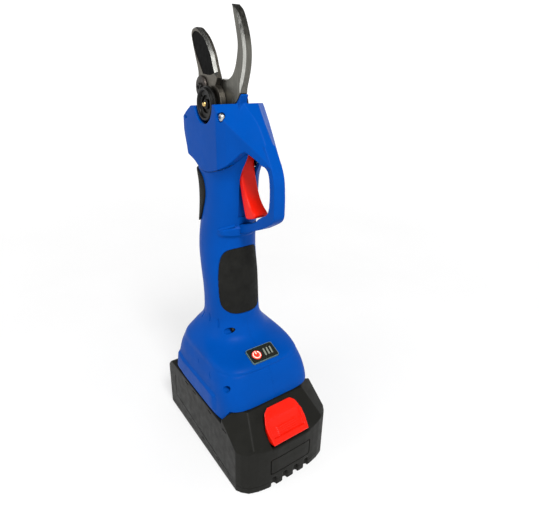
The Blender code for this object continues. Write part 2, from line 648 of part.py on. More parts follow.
def tooth_half_angle(radius, pitch_r, base_r, thickness):
    """Half the angle a tooth takes at a radius, for a 20 degree involute."""
    def involute(r):
        if r <= base_r:
            return 0.0
        t = math.sqrt((r / base_r) ** 2 - 1)
        return t - math.atan(t)
    return thickness / (2 * pitch_r) + involute(pitch_r) - involute(max(radius, base_r))


def gear_outline(teeth, module, thin, internal=False, turn=0.0):
    """Points round a spur gear, or round the inside of a ring gear."""
    pitch_r = teeth * module / 2
    base_r = pitch_r * math.cos(math.radians(20))
    up, down = (1.15, 0.85) if internal else (0.85, 1.15)
    half = math.pi * module / 2
    points = []
    for k in range(teeth):
        mid = turn + 2 * math.pi * k / teeth
        if internal:
            radii = (pitch_r + module * up, pitch_r, pitch_r - module * down)
            angles = [tooth_half_angle(r, pitch_r, base_r, half + thin) for r in radii]
            points += [(r, mid - a) for r, a in zip(reversed(radii), reversed(angles))]
            points += [((r), mid + a) for r, a in zip(radii, angles)]
        else:
            radii = (pitch_r - module * down, pitch_r, pitch_r + module * up)
            angles = [tooth_half_angle(r, pitch_r, base_r, half - thin) for r in radii]
            points += [(r, mid - a) for r, a in zip(radii, angles)]
            points += [(r, mid + a) for r, a in zip(reversed(radii), reversed(angles))]
    return [(r * math.cos(t), r * math.sin(t)) for r, t in points]


def shifted(points, x, y):
    return [(px + x, py + y) for px, py in points]


def make_planetary():
    ring = prism("ring_gear", shifted(circle(13.2, 24), 0, AXIS_Y), "Z", *RING_Z, STEEL)
    cut(ring, prism("cutter", shifted(gear_outline(RING_TEETH, PLANET_MODULE, 0.16, True), 0, AXIS_Y), "Z",
                    RING_Z[0] - 2, RING_Z[1] + 2))
    tidy(ring, 30)
    orbit = PLANET_MODULE * (SUN_TEETH + PLANET_TEETH) / 2
    for k in range(3):
        at = 2 * math.pi * k / 3 + math.pi / 2
        turn = at + math.pi
        x, y = orbit * math.cos(at), AXIS_Y + orbit * math.sin(at)
        gear = prism("planet_gear_%d" % (k + 1), shifted(gear_outline(
            PLANET_TEETH, PLANET_MODULE, 0.16, False, turn), x, y), "Z", RING_Z[0] + 0.4, RING_Z[1] - 0.4, STEEL)
        cut(gear, prism("cutter", shifted(circle(1.25, 12), x, y), "Z", 100, 250))
        set_origin(tidy(gear, 30), (x, y, RING_Z[0] + 4))
    carrier = lathe("planet_carrier", [(0, 194.2), (11.6, 194.2), (11.6, 196.8), (4.0, 196.8), (4.0, 208.6),
                                       (2.6, 209.2), (2.6, 221.0), (0, 221.0)], "Z", (0, AXIS_Y), 20)
    for k in range(3):
        at = 2 * math.pi * k / 3 + math.pi / 2
        x, y = orbit * math.cos(at), AXIS_Y + orbit * math.sin(at)
        combine(carrier, lathe("pin", [(0, RING_Z[0] + 0.6), (1.0, RING_Z[0] + 0.6), (1.0, 195), (0, 195)], "Z",
                               (x, y), 12), "UNION")
    paint(carrier, STEEL)
    set_origin(tidy(carrier, 30), (0, AXIS_Y, 195))


def make_motor():
    centre = (0, AXIS_Y)
    tidy(lathe("motor_can", [(11.8, 131.0), (13.1, 131.0), (13.1, 182.6), (12.4, 183.4), (5.4, 183.4), (5.4, 181.4),
                             (11.8, 181.4)], "Z", centre, 24, DARK_STEEL), 35)
    tidy(lathe("motor_end_cap", [(4.3, 128.2), (13.1, 128.2), (13.1, 130.7), (11.4, 130.7), (11.4, 133.2),
                                 (9.8, 133.2), (9.8, 130.7), (4.3, 130.7)], "Z", centre, 24, ALUMINIUM), 35)
    tidy(lathe("motor_stator", [(7.6, 138), (11.5, 138), (11.5, 176), (7.6, 176)], "Z", centre, 24, BRASS), 35)
    rotor = lathe("motor_rotor", [(0, 126.4), (1.6, 126.4), (1.6, 139.4), (7.0, 139.4), (7.0, 174.6), (1.6, 174.6),
                                  (1.6, 185.4), (0, 185.4)], "Z", centre, 24, STEEL)
    sun = prism("sun", shifted(gear_outline(SUN_TEETH, PLANET_MODULE, 0.16, False, math.pi / 12 + math.pi / 2),
                               0, AXIS_Y), "Z", 185.2, 193.4)
    combine(rotor, sun, "UNION")
    paint(rotor, STEEL)
    set_origin(tidy(rotor, 30), (0, AXIS_Y, 150))
    tidy(lathe("output_bearing", [(4.3, 200.4), (8.6, 200.4), (8.6, 206.4), (4.3, 206.4)], "Z", centre, 24, STEEL),
         35)


BEVEL_BACKLASH = 0.34


def bevel_outline(teeth, radius, other_r, middles):
    """Straight bevel teeth as (cone angle, turn angle) pairs, with the length of the cone."""
    cone = math.hypot(radius, other_r)
    delta = math.atan2(radius, other_r)
    module = 2 * radius / teeth
    virtual_r = radius / math.cos(delta)
    base_r = virtual_r * math.cos(math.radians(20))
    thickness = math.pi * module / 2 - BEVEL_BACKLASH
    outline = []
    for mid in middles:
        flank = []
        for h in (-1.15 * module, 0.0, 0.8 * module):
            half = tooth_half_angle(virtual_r + h, virtual_r, base_r, thickness)
            d = delta + h / cone
            flank.append((d, half * (virtual_r + h) / (cone * math.sin(d))))
        outline += [(d, mid - w) for d, w in flank] + [(d, mid + w) for d, w in reversed(flank)]
    return outline, cone


def bevel_body(name, outline, cone, main, across, side):
    """Teeth between the outer and inner end of the cone; main is the gear's own axis."""
    apex = Vector((0, AXIS_Y, PIVOT_Z))
    rings = []
    for scale in (1.0, BEVEL_INNER):
        ring = []
        for d, turn in outline:
            radial = across * math.cos(turn) + side * math.sin(turn)
            ring.append(tuple(apex + (main * math.cos(d) + radial * math.sin(d)) * cone * scale))
        rings.append(ring)
    return loft(name, rings)


def make_bevel_pinion():
    pitch = 2 * math.pi / BEVEL_PINION_TEETH
    middles = [math.pi + pitch * (k + 0.5) for k in range(BEVEL_PINION_TEETH)]
    outline, cone = bevel_outline(BEVEL_PINION_TEETH, BEVEL_PINION_R, BEVEL_WHEEL_R, middles)
    obj = bevel_body("bevel_pinion", outline, cone, Vector((0, 0, -1)), Vector((1, 0, 0)), Vector((0, 1, 0)))
    hub = [(0, 216.2), (3.9, 216.2), (3.9, 209.6), (0, 209.6)]
    combine(obj, lathe("hub", hub, "Z", (0, AXIS_Y), 16, turn=0.1), "UNION")
    cut(obj, lathe("cutter", [(0, 200), (2.75, 200), (2.75, 230), (0, 230)], "Z", (0, AXIS_Y), 12))
    paint(obj, STEEL)
    return set_origin(tidy(obj, 30), (0, AXIS_Y, 215))


SECTOR_MIDDLE = -25.0
SECTOR_HALF = 35.0


def make_sector_gear():
    """Part of a bevel wheel on a curved plate; angles are turned back from straight down."""
    strip = []
    for radius, way in ((26.6, 1), (17.3, -1)):
        for k in range(-5, 6):
            t = math.radians(-90.0 + SECTOR_MIDDLE + SECTOR_HALF * way * k / 5)
            strip.append((AXIS_Y + radius * math.cos(t), PIVOT_Z + radius * math.sin(t)))
    obj = prism("blade_sector_gear", strip, "X", -7.5, -6.0)
    pitch = 2 * math.pi / BEVEL_WHEEL_TEETH
    first = math.ceil(math.radians(SECTOR_MIDDLE - SECTOR_HALF + 1) / pitch)
    last = math.floor(math.radians(SECTOR_MIDDLE + SECTOR_HALF - 1) / pitch)
    middles = [pitch * k for k in range(first, last + 1)]
    outline, cone = bevel_outline(BEVEL_WHEEL_TEETH, BEVEL_WHEEL_R, BEVEL_PINION_R, middles)
    root = math.atan2(BEVEL_WHEEL_R, BEVEL_PINION_R) - 2.2 / cone
    start, end = outline[0][1], outline[-1][1]
    outline += [(root, start + (end - start) * k / 6) for k in range(6, -1, -1)]
    teeth = bevel_body("teeth", outline, cone, Vector((-1, 0, 0)), Vector((0, 0, -1)), Vector((0, 1, 0)))
    combine(obj, teeth, "UNION")
    paint(obj, STEEL)
    return set_origin(tidy(obj, 30), (0, AXIS_Y, PIVOT_Z))


def make_gear_case():
    obj = lathe("gear_case", [(8.7, 199.4), (13.2, 199.4), (13.2, 207.2), (5.2, 207.2), (5.2, 206.7), (8.7, 206.7)],
                "Z", (0, AXIS_Y), 28)
    cheek = [(3.5, 206.9), (9.5, 206.9), (9.5, 224), (23.5, 224), (23.5, 206.9), (29, 206.9), (29, 238), (26.5, 245.5),
             (21, 248.6), (12, 248.6), (6, 246), (3.5, 241.5)]
    combine(obj, prism("cheek", cheek, "X", -2.4, 5.2), "UNION")
    ear = [(10, 200.5), (23, 200.5), (23, 206), (14, 207), (4.5, 222), (2, 230), (2, 238.6), (-0.4, 238.8),
           (-0.4, 228), (3.4, 213)]
    combine(obj, prism("ear", ear, "X", -13.1, -11.9), "UNION")
    combine(obj, box("pad", (-12.6, -8.2), (0.2, 1.6), (231.6, 238.6)), "UNION")
    combine(obj, box("pad", (-11.6, -8.2), (-4.2, 1.0), (231.8, 237.7)), "UNION")
    cut(obj, lathe("cutter", [(0, -5), (5.4, -5), (5.4, 20), (0, 20)], "X", (AXIS_Y, PIVOT_Z), 20))
    cut(obj, lathe("cutter", [(0, -20), (1.6, -20), (1.6, -5), (0, -5)], "X", COVER_SCREW_AT, 12))
    paint(obj, ALUMINIUM)
    return tidy(obj, 32)


def make_trigger():
    obj = prism("trigger", TRIGGER, "X", -TRIGGER_HALF_W, TRIGGER_HALF_W, RED)
    cut(obj, lathe("cutter", [(0, -20), (1.5, -20), (1.5, 20), (0, 20)], "X", TRIGGER_PIVOT, 12))
    bevel = obj.modifiers.new("edge", "BEVEL")
    bevel.width = 1.4 * MM
    bevel.segments = 1
    bevel.limit_method = "ANGLE"
    bevel.angle_limit = math.radians(60)
    set_origin(tidy(obj, 25), (0, *TRIGGER_PIVOT))
    pin = lathe("trigger_pin", [(0, -14.2), (1.2, -14.2), (1.2, 14.2), (0, 14.2)], "X", TRIGGER_PIVOT, 12, STEEL)
    tidy(pin, 35)
    make_trigger_spring()
    box("trigger_sensor_board", (-6.0, 6.0), (1.2, 2.4), (180, 198), BOARD)


def make_trigger_spring():
    """Torsion spring wound round the trigger pin, beside the trigger."""
    path = []
    steps = 10
    for k in range(int(2.6 * steps) + 1):
        t = 2 * math.pi * k / steps + math.radians(70)
        path.append((6.4 + 2.4 * k / (2.6 * steps), TRIGGER_PIVOT[0] + 2.3 * math.cos(t),
                     TRIGGER_PIVOT[1] + 2.3 * math.sin(t)))
    end = path[-1]
    path.append((end[0] + 0.2, end[1] - 0.2, end[2] - 3.2))
    path.append((end[0] + 0.2, end[1] + 0.6, end[2] - 6.4))
    verts, faces, sides = [], [], 6
    for i, p in enumerate(path):
        a, b = Vector(path[max(i - 1, 0)]), Vector(path[min(i + 1, len(path) - 1)])
        way = (b - a).normalized()
        u = way.cross(Vector((1, 0, 0))).normalized()
        v = way.cross(u)
        for k in range(sides):
            t = 2 * math.pi * k / sides
            verts.append(tuple(Vector(p) + (u * math.cos(t) + v * math.sin(t)) * 0.35))
    for i in range(len(path) - 1):
        for k in range(sides):
            m = (k + 1) % sides
            faces.append((i * sides + k, i * sides + m, (i + 1) * sides + m, (i + 1) * sides + k))
    last = (len(path) - 1) * sides
    faces += [tuple(range(sides)), tuple(range(last, last + sides))]
    return build("trigger_spring", verts, faces, STEEL)


def make_electrics():
    box("control_board", (-22, 22), (-16, 18), (57.0, 58.6), BOARD)
    block = box("tool_terminal_block", (-13.6, 13.6), (30.6, 34.6), (46.2, 60.0), CHARCOAL)
    for x in (-9.5, 9.5):
        combine(block, box("blade", (x - 0.5, x + 0.5), (16, 31.5), (48.0, 51.6)), "UNION")
    paint(block, CHARCOAL)
    tidy(block)


for old in list(bpy.data.objects):
    bpy.data.objects.remove(old)

make_battery_lower_case()
make_battery_upper_case()
make_latch()
make_battery_inside()
make_shells()
make_pad("rear_grip_pad", True)
make_pad("front_grip_pad", False)
make_panel()
make_electrics()
make_motor()
make_planetary()
make_gear_case()
make_bevel_pinion()
make_sector_gear()
make_blades()
make_pivot()
make_head_cover()
screw("cover_screw", (-15.9, *COVER_SCREW_AT), 6.0, 2.3, STEEL)
make_trigger()
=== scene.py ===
import math

import bmesh
import bpy
from mathutils import Matrix, Vector


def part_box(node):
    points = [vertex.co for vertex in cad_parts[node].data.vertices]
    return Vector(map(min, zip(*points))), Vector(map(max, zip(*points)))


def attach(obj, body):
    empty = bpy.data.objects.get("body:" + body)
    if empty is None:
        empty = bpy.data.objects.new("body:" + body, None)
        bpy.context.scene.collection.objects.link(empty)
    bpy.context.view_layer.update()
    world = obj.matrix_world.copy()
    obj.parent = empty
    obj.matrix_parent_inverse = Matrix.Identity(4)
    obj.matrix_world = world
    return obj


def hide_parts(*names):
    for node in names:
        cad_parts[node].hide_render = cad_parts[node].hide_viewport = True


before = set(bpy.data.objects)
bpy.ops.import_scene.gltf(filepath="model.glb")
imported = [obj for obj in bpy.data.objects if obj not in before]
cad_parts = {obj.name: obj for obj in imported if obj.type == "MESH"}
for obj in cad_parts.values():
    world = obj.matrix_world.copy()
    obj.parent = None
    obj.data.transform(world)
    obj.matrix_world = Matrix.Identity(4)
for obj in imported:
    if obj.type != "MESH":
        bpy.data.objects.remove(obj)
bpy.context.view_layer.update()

# Looks for the battery electric pruner. Lengths are millimetres; MM turns them to metres.
# +Z runs up the handle, -Y is the trigger side, +X is the right of somebody holding the tool.
MM = 0.001
GAP = 0.3


def in_mm(node):
    """Lowest and highest corner of a CAD node."""
    low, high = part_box(node)
    return low / MM, high / MM


# ---- driving sizes, taken from the frame
CASE_HIGH = in_mm("battery_upper_case")[1]
BAT_HALF_W = CASE_HIGH.x
BAT_HALF_L = CASE_HIGH.y
HUMP_Z = CASE_HIGH.z
BAT_TOP_Z = 45.0
SPLIT_Z = in_mm("battery_lower_case")[1].z
CASE_WALL = 2.4
FIXED_LOW, FIXED_HIGH = in_mm("fixed_blade")
MOVING_LOW, MOVING_HIGH = in_mm("moving_blade")
BOLT_LOW, BOLT_HIGH = in_mm("pivot_bolt")
AXIS_Y = (BOLT_LOW.y + BOLT_HIGH.y) / 2
PIVOT_Z = (BOLT_LOW.z + BOLT_HIGH.z) / 2
PIVOT = (AXIS_Y, PIVOT_Z)
DISC_LOW, DISC_HIGH = in_mm("nut_lock_disc")
LOCK = ((DISC_LOW.y + DISC_HIGH.y) / 2, (DISC_LOW.z + DISC_HIGH.z) / 2)
TRIGGER_PIVOT = (-3.2, 214.0)
FOOT_Z = in_mm("handle_shell_left")[0].z
PAD_DEPTH = 1.3
HANDLE_WALL = 2.3
HANDLE_TOP = 219
RAIL_HALF_W = 37.45
COVER_HALF_W = 17.0
COVER_WALL = 2.7

# outside of the handle and foot: height, centre y, half width, half depth, squareness
HANDLE_SECTIONS = (
    (45.3, 4.5, 37.0, 44.5, 5.5),
    (58.0, 4.0, 36.2, 44.0, 5.2),
    (68.0, 4.6, 34.9, 41.8, 4.8),
    (75.0, 5.5, 33.2, 39.2, 4.3),
    (80.0, 6.3, 32.2, 36.9, 3.8),
    (84.6, 11.8, 28.4, 29.4, 3.3),
    (88.5, 14.8, 25.0, 25.0, 2.8),
    (93.0, 15.1, 21.6, 22.3, 2.45),
    (98.0, 15.6, 19.4, 21.1, 2.25),
    (106.0, 16.0, 18.8, 21.0, 2.15),
    (118.0, 16.7, 18.8, 21.1, 2.1),
    (131.0, 18.3, 19.0, 21.5, 2.1),
    (145.0, 20.2, 18.8, 21.3, 2.1),
    (156.0, 20.0, 18.2, 21.3, 2.1),
    (168.0, 18.2, 17.4, 21.4, 2.1),
    (182.0, 16.5, 16.8, 21.9, 2.15),
    (193.0, 16.3, 16.7, 22.5, 2.2),
    (201.0, 16.8, 16.6, 24.2, 2.3),
    (207.0, 15.2, 16.5, 25.8, 2.3),
    (213.0, 13.1, 16.4, 27.9, 2.4),
    (220.0, 11.3, 16.4, 29.7, 2.4),
)


# ---- mesh helpers
def link(obj):
    bpy.context.scene.collection.objects.link(obj)
    return obj


def build(name, verts, faces):
    """New object from points in millimetres."""
    mesh = bpy.data.meshes.new(name)
    mesh.from_pydata([Vector(v) * MM for v in verts], [], faces)
    bm = bmesh.new()
    bm.from_mesh(mesh)
    bmesh.ops.recalc_face_normals(bm, faces=bm.faces)
    bm.to_mesh(mesh)
    bm.free()
    return link(bpy.data.objects.new(name, mesh))


def on_axis(axis, a, b, h):
    """Point with a, b in the plane across the axis and h along it."""
    return {"X": (h, a, b), "Y": (a, h, b), "Z": (a, b, h)}[axis]


def prism(name, outline, axis, low, high):
    n = len(outline)
    verts = [on_axis(axis, a, b, low) for a, b in outline] + [on_axis(axis, a, b, high) for a, b in outline]
    faces = [tuple(range(n)), tuple(range(n, 2 * n))]
    faces += [(i, (i + 1) % n, n + (i + 1) % n, n + i) for i in range(n)]
    return build(name, verts, faces)


def box(name, x, y, z):
    return prism(name, [(x[0], y[0]), (x[1], y[0]), (x[1], y[1]), (x[0], y[1])], "Z", z[0], z[1])


def slab(outline, axis, low, high):
    """Prism to cut with."""
    return prism("cutter", outline, axis, low, high)


def block(x, y, z):
    """Box to cut with."""
    return box("cutter", x, y, z)


def lathe(name, profile, axis, centre, segments=72, turn=0.0):
    """Turn a closed outline of (radius, height) round a line along the axis through centre."""
    rings, verts = [], []
    for r, h in profile:
        if r < 1e-6:
            rings.append([len(verts)] * segments)
            verts.append(on_axis(axis, centre[0], centre[1], h))
            continue
        rings.append(list(range(len(verts), len(verts) + segments)))
        for k in range(segments):
            t = turn + 2 * math.pi * k / segments
            verts.append(on_axis(axis, centre[0] + r * math.cos(t), centre[1] + r * math.sin(t), h))
    faces = []
    for i, ring in enumerate(rings):
        following = rings[(i + 1) % len(rings)]
        if len(set(ring)) == 1 and len(set(following)) == 1:
            continue
        for k in range(segments):
            m = (k + 1) % segments
            faces.append(tuple(dict.fromkeys([ring[k], ring[m], following[m], following[k]])))
    return build(name, verts, faces)


def rod(radius, low, high, centre, segments):
    """Round cutter along X."""
    return lathe("cutter", [(0, low), (radius, low), (radius, high), (0, high)], "X", centre, segments)


def loft(name, rings):
    n = len(rings[0])
    verts = [p for ring in rings for p in ring]
    faces = [tuple(range(n)), tuple(range(len(verts) - n, len(verts)))]
    for i in range(len(rings) - 1):
        for k in range(n):
            m = (k + 1) % n
            faces.append((i * n + k, i * n + m, (i + 1) * n + m, (i + 1) * n + k))
    return build(name, verts, faces)


def tube(name, path, radius, sides=10, closed=False):
    """Round bar along a path."""
    points = [Vector(p) for p in path]
    verts, faces = [], []
    n = len(points)
    for i, p in enumerate(points):
        before = points[i - 1] if closed or i else p
        after = points[(i + 1) % n] if closed or i < n - 1 else p
        way = (after - before).normalized()
        side = way.orthogonal().normalized()
        if abs(way.x) < 0.9:
            side = way.cross(Vector((1, 0, 0))).normalized()
        up = way.cross(side)
        for k in range(sides):
            t = 2 * math.pi * (k + 0.37) / sides
            verts.append(p + (side * math.cos(t) + up * math.sin(t)) * radius)
    for i in range(n if closed else n - 1):
        for k in range(sides):
            m = (k + 1) % sides
            j = (i + 1) % n
            faces.append((i * sides + k, i * sides + m, j * sides + m, j * sides + k))
    if not closed:
        faces += [tuple(range(sides)), tuple(range((n - 1) * sides, n * sides))]
    return build(name, verts, faces)


def between(start, end, way_in, way_out, t):
    """Smooth curve from start to end that leaves and arrives in the given ways."""
    return (start * (2 * t ** 3 - 3 * t * t + 1) + way_in * (t ** 3 - 2 * t * t + t)
            + end * (3 * t * t - 2 * t ** 3) + way_out * (t ** 3 - t * t))


def flowing(points, corners=(), steps=5):
    """Closed outline curving through the points, with sharp turns only at the listed ones."""
    n = len(points)
    outline = []
    for i in range(n):
        start, end = Vector(points[i]), Vector(points[(i + 1) % n])
        before, after = Vector(points[i - 1]), Vector(points[(i + 2) % n])
        reach = (end - start).length
        way_in = ((end - start) if i in corners else (end - before)).normalized() * reach
        way_out = ((end - start) if (i + 1) % n in corners else (after - start)).normalized() * reach
        outline += [tuple(between(start, end, way_in, way_out, k / steps)) for k in range(steps)]
    return outline


def arc(centre, radius, start, end, steps=12):
    """Points on a circle between two angles in degrees."""
    turns = [math.radians(start + (end - start) * k / steps) for k in range(steps + 1)]
    return [(centre[0] + radius * math.cos(t), centre[1] + radius * math.sin(t)) for t in turns]


def rounded(half_w, half_h, radius, steps=8):
    """Rectangle with round corners about the origin."""
    w, h = half_w - radius, half_h - radius
    points = []
    for centre, start in (((w, h), 0), ((-w, h), 90), ((-w, -h), 180), ((w, -h), 270)):
        points += arc(centre, radius, start, start + 90, steps)
    return points


def bake(obj):
    """Replace the mesh by what its modifiers make."""
    bpy.context.view_layer.update()
    mesh = bpy.data.meshes.new_from_object(obj.evaluated_get(bpy.context.evaluated_depsgraph_get()))
    obj.modifiers.clear()
    obj.data = mesh
    return obj


def combine(obj, other, how):
    """Boolean of obj with other, which is used up."""
    step = obj.modifiers.new("combine", "BOOLEAN")
    step.operation = how
    step.solver = "EXACT"
    step.object = other
    bake(obj)
    bpy.data.objects.remove(other)
    return obj


def cut(obj, *cutters):
    for other in cutters:
        combine(obj, other, "DIFFERENCE")
    return obj


def add(obj, other):
    return combine(obj, other, "UNION")


def keep(obj, other):
    """Keep the part of obj that lies inside other."""
    return combine(obj, other, "INTERSECT")


def joined(objects):
    """One object holding the meshes of all, which don't touch each other."""
    bm = bmesh.new()
    for obj in objects:
        bm.from_mesh(obj.data)
    first = objects[0]
    bm.to_mesh(first.data)
    bm.free()
    for obj in objects[1:]:
        bpy.data.objects.remove(obj)
    return first


def half_space(point, normal, size=160.0):
    """Block lying beyond the plane through point, on the side the normal points to."""
    obj = block((-size, size), (-size, size), (0, size))
    turn = Vector(normal).to_track_quat("Z", "Y").to_matrix().to_4x4()
    obj.data.transform(Matrix.Translation(Vector(point) * MM) @ turn)
    return obj


def welded(obj, slivers=False):
    """Join split points and, if asked, drop edges of no length."""
    bm = bmesh.new()
    bm.from_mesh(obj.data)
    bmesh.ops.remove_doubles(bm, verts=bm.verts, dist=2e-6)
    if slivers:
        bmesh.ops.dissolve_degenerate(bm, dist=1e-6, edges=bm.edges)
    bm.to_mesh(obj.data)
    bm.free()
    return obj


def tidy(obj, angle=35):
    """Join split points and shade round surfaces smooth."""
    welded(obj, slivers=True)
    obj.data.shade_smooth()
    obj.data.set_sharp_from_angle(angle=math.radians(angle))
    return obj


def moulded(obj, voxel, rounds, share):
    """Soft edges as from a mould: small even faces, relaxed, then thinned out again."""
    remesh = obj.modifiers.new("remesh", "REMESH")
    remesh.mode = "VOXEL"
    remesh.voxel_size = voxel * MM
    relax = obj.modifiers.new("relax", "SMOOTH")
    relax.iterations = rounds
    thin = obj.modifiers.new("thin", "DECIMATE")
    thin.ratio = share
    return bake(obj)


def twin(obj, name):
    """Second object with its own copy of the mesh."""
    other = obj.copy()
    other.data = obj.data.copy()
    other.name = name
    return link(other)


def mirrored(half):
    """Outline made of a right half and its mirror image."""
    return half + [(-x, y) for x, y in reversed(half)]


def node_copy(node, name):
    """Free copy of a CAD node's mesh."""
    obj = bpy.data.objects.new(name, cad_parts[node].data.copy())
    obj.data.materials.clear()
    return welded(link(obj))


# ---- materials
class Look:
    """A node material, with short calls for the textures it is made from."""

    def __init__(self, name, metallic=0.0, coat=0.0):
        self.mat = bpy.data.materials.new(name)
        self.mat.use_nodes = True
        self.tree = self.mat.node_tree
        self.shader = self.tree.nodes["Principled BSDF"]
        self.put("Metallic", metallic)
        self.put("Coat Weight", coat)
        self.coords = self.tree.nodes.new("ShaderNodeTexCoord").outputs["Object"]

    def put(self, socket, value):
        self.shader.inputs[socket].default_value = value

    def link(self, start, end):
        self.tree.links.new(start, end)

    def stretched(self, scale):
        """Object coordinates drawn out along the axes with a small scale."""
        mapping = self.tree.nodes.new("ShaderNodeMapping")
        mapping.inputs["Scale"].default_value = scale
        self.link(self.coords, mapping.inputs["Vector"])
        return mapping.outputs["Vector"]

    def noise(self, scale, detail=3.0, stretch=None):
        texture = self.tree.nodes.new("ShaderNodeTexNoise")
        texture.inputs["Scale"].default_value = scale
        texture.inputs["Detail"].default_value = detail
        self.link(self.stretched(stretch) if stretch else self.coords, texture.inputs["Vector"])
        return texture.outputs["Fac"]

    def cells(self, scale):
        texture = self.tree.nodes.new("ShaderNodeTexVoronoi")
        texture.inputs["Scale"].default_value = scale
        self.link(self.coords, texture.inputs["Vector"])
        return texture.outputs["Distance"]

    def ramp(self, fac, *stops):
        """Colours or grey levels along a texture; each stop is (place, level or colour)."""
        node = self.tree.nodes.new("ShaderNodeValToRGB")
        while len(node.color_ramp.elements) < len(stops):
            node.color_ramp.elements.new(0.5)
        for element, (place, value) in zip(node.color_ramp.elements, stops):
            element.position = place
            element.color = (*value, 1.0) if isinstance(value, tuple) else (value, value, value, 1.0)
        self.link(fac, node.inputs["Fac"])
        return node.outputs["Color"]

    def times(self, first, second):
        node = self.tree.nodes.new("ShaderNodeMix")
        node.data_type = "RGBA"
        node.blend_type = "MULTIPLY"
        node.inputs["Factor"].default_value = 1.0
        self.link(first, node.inputs[6])
        self.link(second, node.inputs[7])
        return node.outputs[2]

    def colour(self, socket):
        self.link(socket, self.shader.inputs["Base Color"])

    def roughness(self, low, high, *texture, edge=0.3):
        """Roughness from low to high, following a noise texture."""
        fac = self.ramp(self.noise(*texture), (edge, low), (1 - edge, high))
        self.link(fac, self.shader.inputs["Roughness"])

    def bumps(self, *layers):
        """Layers of (height, depth in millimetres), laid over each other."""
        normal = None
        for height, depth in layers:
            node = self.tree.nodes.new("ShaderNodeBump")
            node.inputs["Distance"].default_value = depth * MM
            self.link(height, node.inputs["Height"])
            if normal:
                self.link(normal, node.inputs["Normal"])
            normal = node.outputs["Normal"]
        self.link(normal, self.shader.inputs["Normal"])
        return self.mat


def shades(colour, *factors):
    return [tuple(min(1.0, c * f) for c in colour) for f in factors]


def plastic(name, colour, rough=(0.36, 0.48), grain=2400, depth=0.012, coat=0.0, mottle=0.06, shine=0.25):
    """Moulded plastic: faint mottle, fine spark-eroded grain and patchy gloss with a few rubbed spots."""
    look = Look(name, coat=coat)
    look.put("Specular IOR Level", shine)
    dark, mid, light = shades(colour, 1 - mottle, 1.0, 1 + mottle)
    cloud = look.ramp(look.noise(38, 4), (0.30, dark), (0.52, mid), (0.72, light))
    speck = look.ramp(look.cells(grain * 0.5), (0.0, 0.93), (0.55, 1.0))
    look.colour(look.times(cloud, speck))
    look.roughness(*rough, 160, 5, edge=0.32)
    return look.bumps((look.noise(grain, 2), depth), (look.noise(220, 3), depth * 1.4))


def rubber(name, colour):
    """Soft grip: matt, finely dimpled, slightly dusty."""
    look = Look(name)
    look.put("Specular IOR Level", 0.1)
    dark, light = shades(colour, 0.8, 1.35)
    look.colour(look.ramp(look.noise(90, 5), (0.35, dark), (0.7, light)))
    look.roughness(0.62, 0.82, 300, 4)
    return look.bumps((look.cells(1500), 0.05), (look.noise(2600, 2), 0.015))


def ground_steel(name, colour, rough=(0.24, 0.42), along=(1.0, 1.0, 0.06), scale=1500, depth=0.006,
                 contrast=0.16):
    """Steel with grinding lines along the axis that has the small number."""
    look = Look(name, metallic=1.0)
    dark, mid, light = shades(colour, 1 - contrast, 1.0, 1 + contrast)
    lines = look.noise(scale, 3, along)
    stain = look.ramp(look.noise(45, 5), (0.3, 0.86), (0.62, 1.0))
    look.colour(look.times(look.ramp(lines, (0.32, dark), (0.5, mid), (0.68, light)), stain))
    look.roughness(*rough, scale * 0.6, 3, along)
    return look.bumps((lines, depth), (look.noise(700, 4), depth * 0.6))


def coated_steel(name, colour, rough=(0.34, 0.5), metallic=0.6, shine=0.25):
    """Black oxide or paint on steel: dull, slightly mottled, fine pits."""
    look = Look(name, metallic=metallic)
    look.put("Specular IOR Level", shine)
    dark, mid, light = shades(colour, 0.75, 1.0, 1.5)
    look.colour(look.ramp(look.noise(120, 6), (0.3, dark), (0.5, mid), (0.75, light)))
    look.roughness(*rough, 420, 4)
    return look.bumps((look.noise(1800, 3), 0.012), (look.cells(900), 0.006))


def cast_metal(name, colour):
    look = Look(name, metallic=1.0)
    dark, light = shades(colour, 0.82, 1.08)
    look.colour(look.ramp(look.noise(260, 6), (0.3, dark), (0.7, light)))
    look.roughness(0.42, 0.6, 500, 4)
    return look.bumps((look.noise(900, 4), 0.03), (look.cells(1400), 0.012))


def windings(name):
    """Enamelled copper wire laid round the motor."""
    look = Look(name, metallic=0.9)
    wires = look.noise(900, 1, (1.0, 1.0, 0.02))
    look.colour(look.ramp(wires, (0.35, (0.30, 0.12, 0.04)), (0.6, (0.62, 0.30, 0.12))))
    look.roughness(0.3, 0.45, 300, 3)
    return look.bumps((wires, 0.08))


def board(name):
    """Green solder mask with paler tracks."""
    look = Look(name, coat=0.3)
    tracks = look.ramp(look.cells(320), (0.10, (0.02, 0.14, 0.05)), (0.16, (0.008, 0.075, 0.03)))
    look.colour(look.times(tracks, look.ramp(look.noise(90, 4), (0.3, 0.85), (0.7, 1.0))))
    look.roughness(0.32, 0.5, 240, 3)
    return look.bumps((look.cells(320), 0.02))


def glowing(name, colour, strength):
    """Lit plastic, a little uneven."""
    look = Look(name, coat=0.3)
    dark, light = shades(colour, 0.8, 1.0)
    tone = look.ramp(look.noise(500, 3), (0.3, dark), (0.7, light))
    look.colour(tone)
    look.link(tone, look.shader.inputs["Emission Color"])
    look.put("Emission Strength", strength)
    look.roughness(0.3, 0.45, 400, 3)
    return look.bumps((look.noise(2200, 2), 0.005))


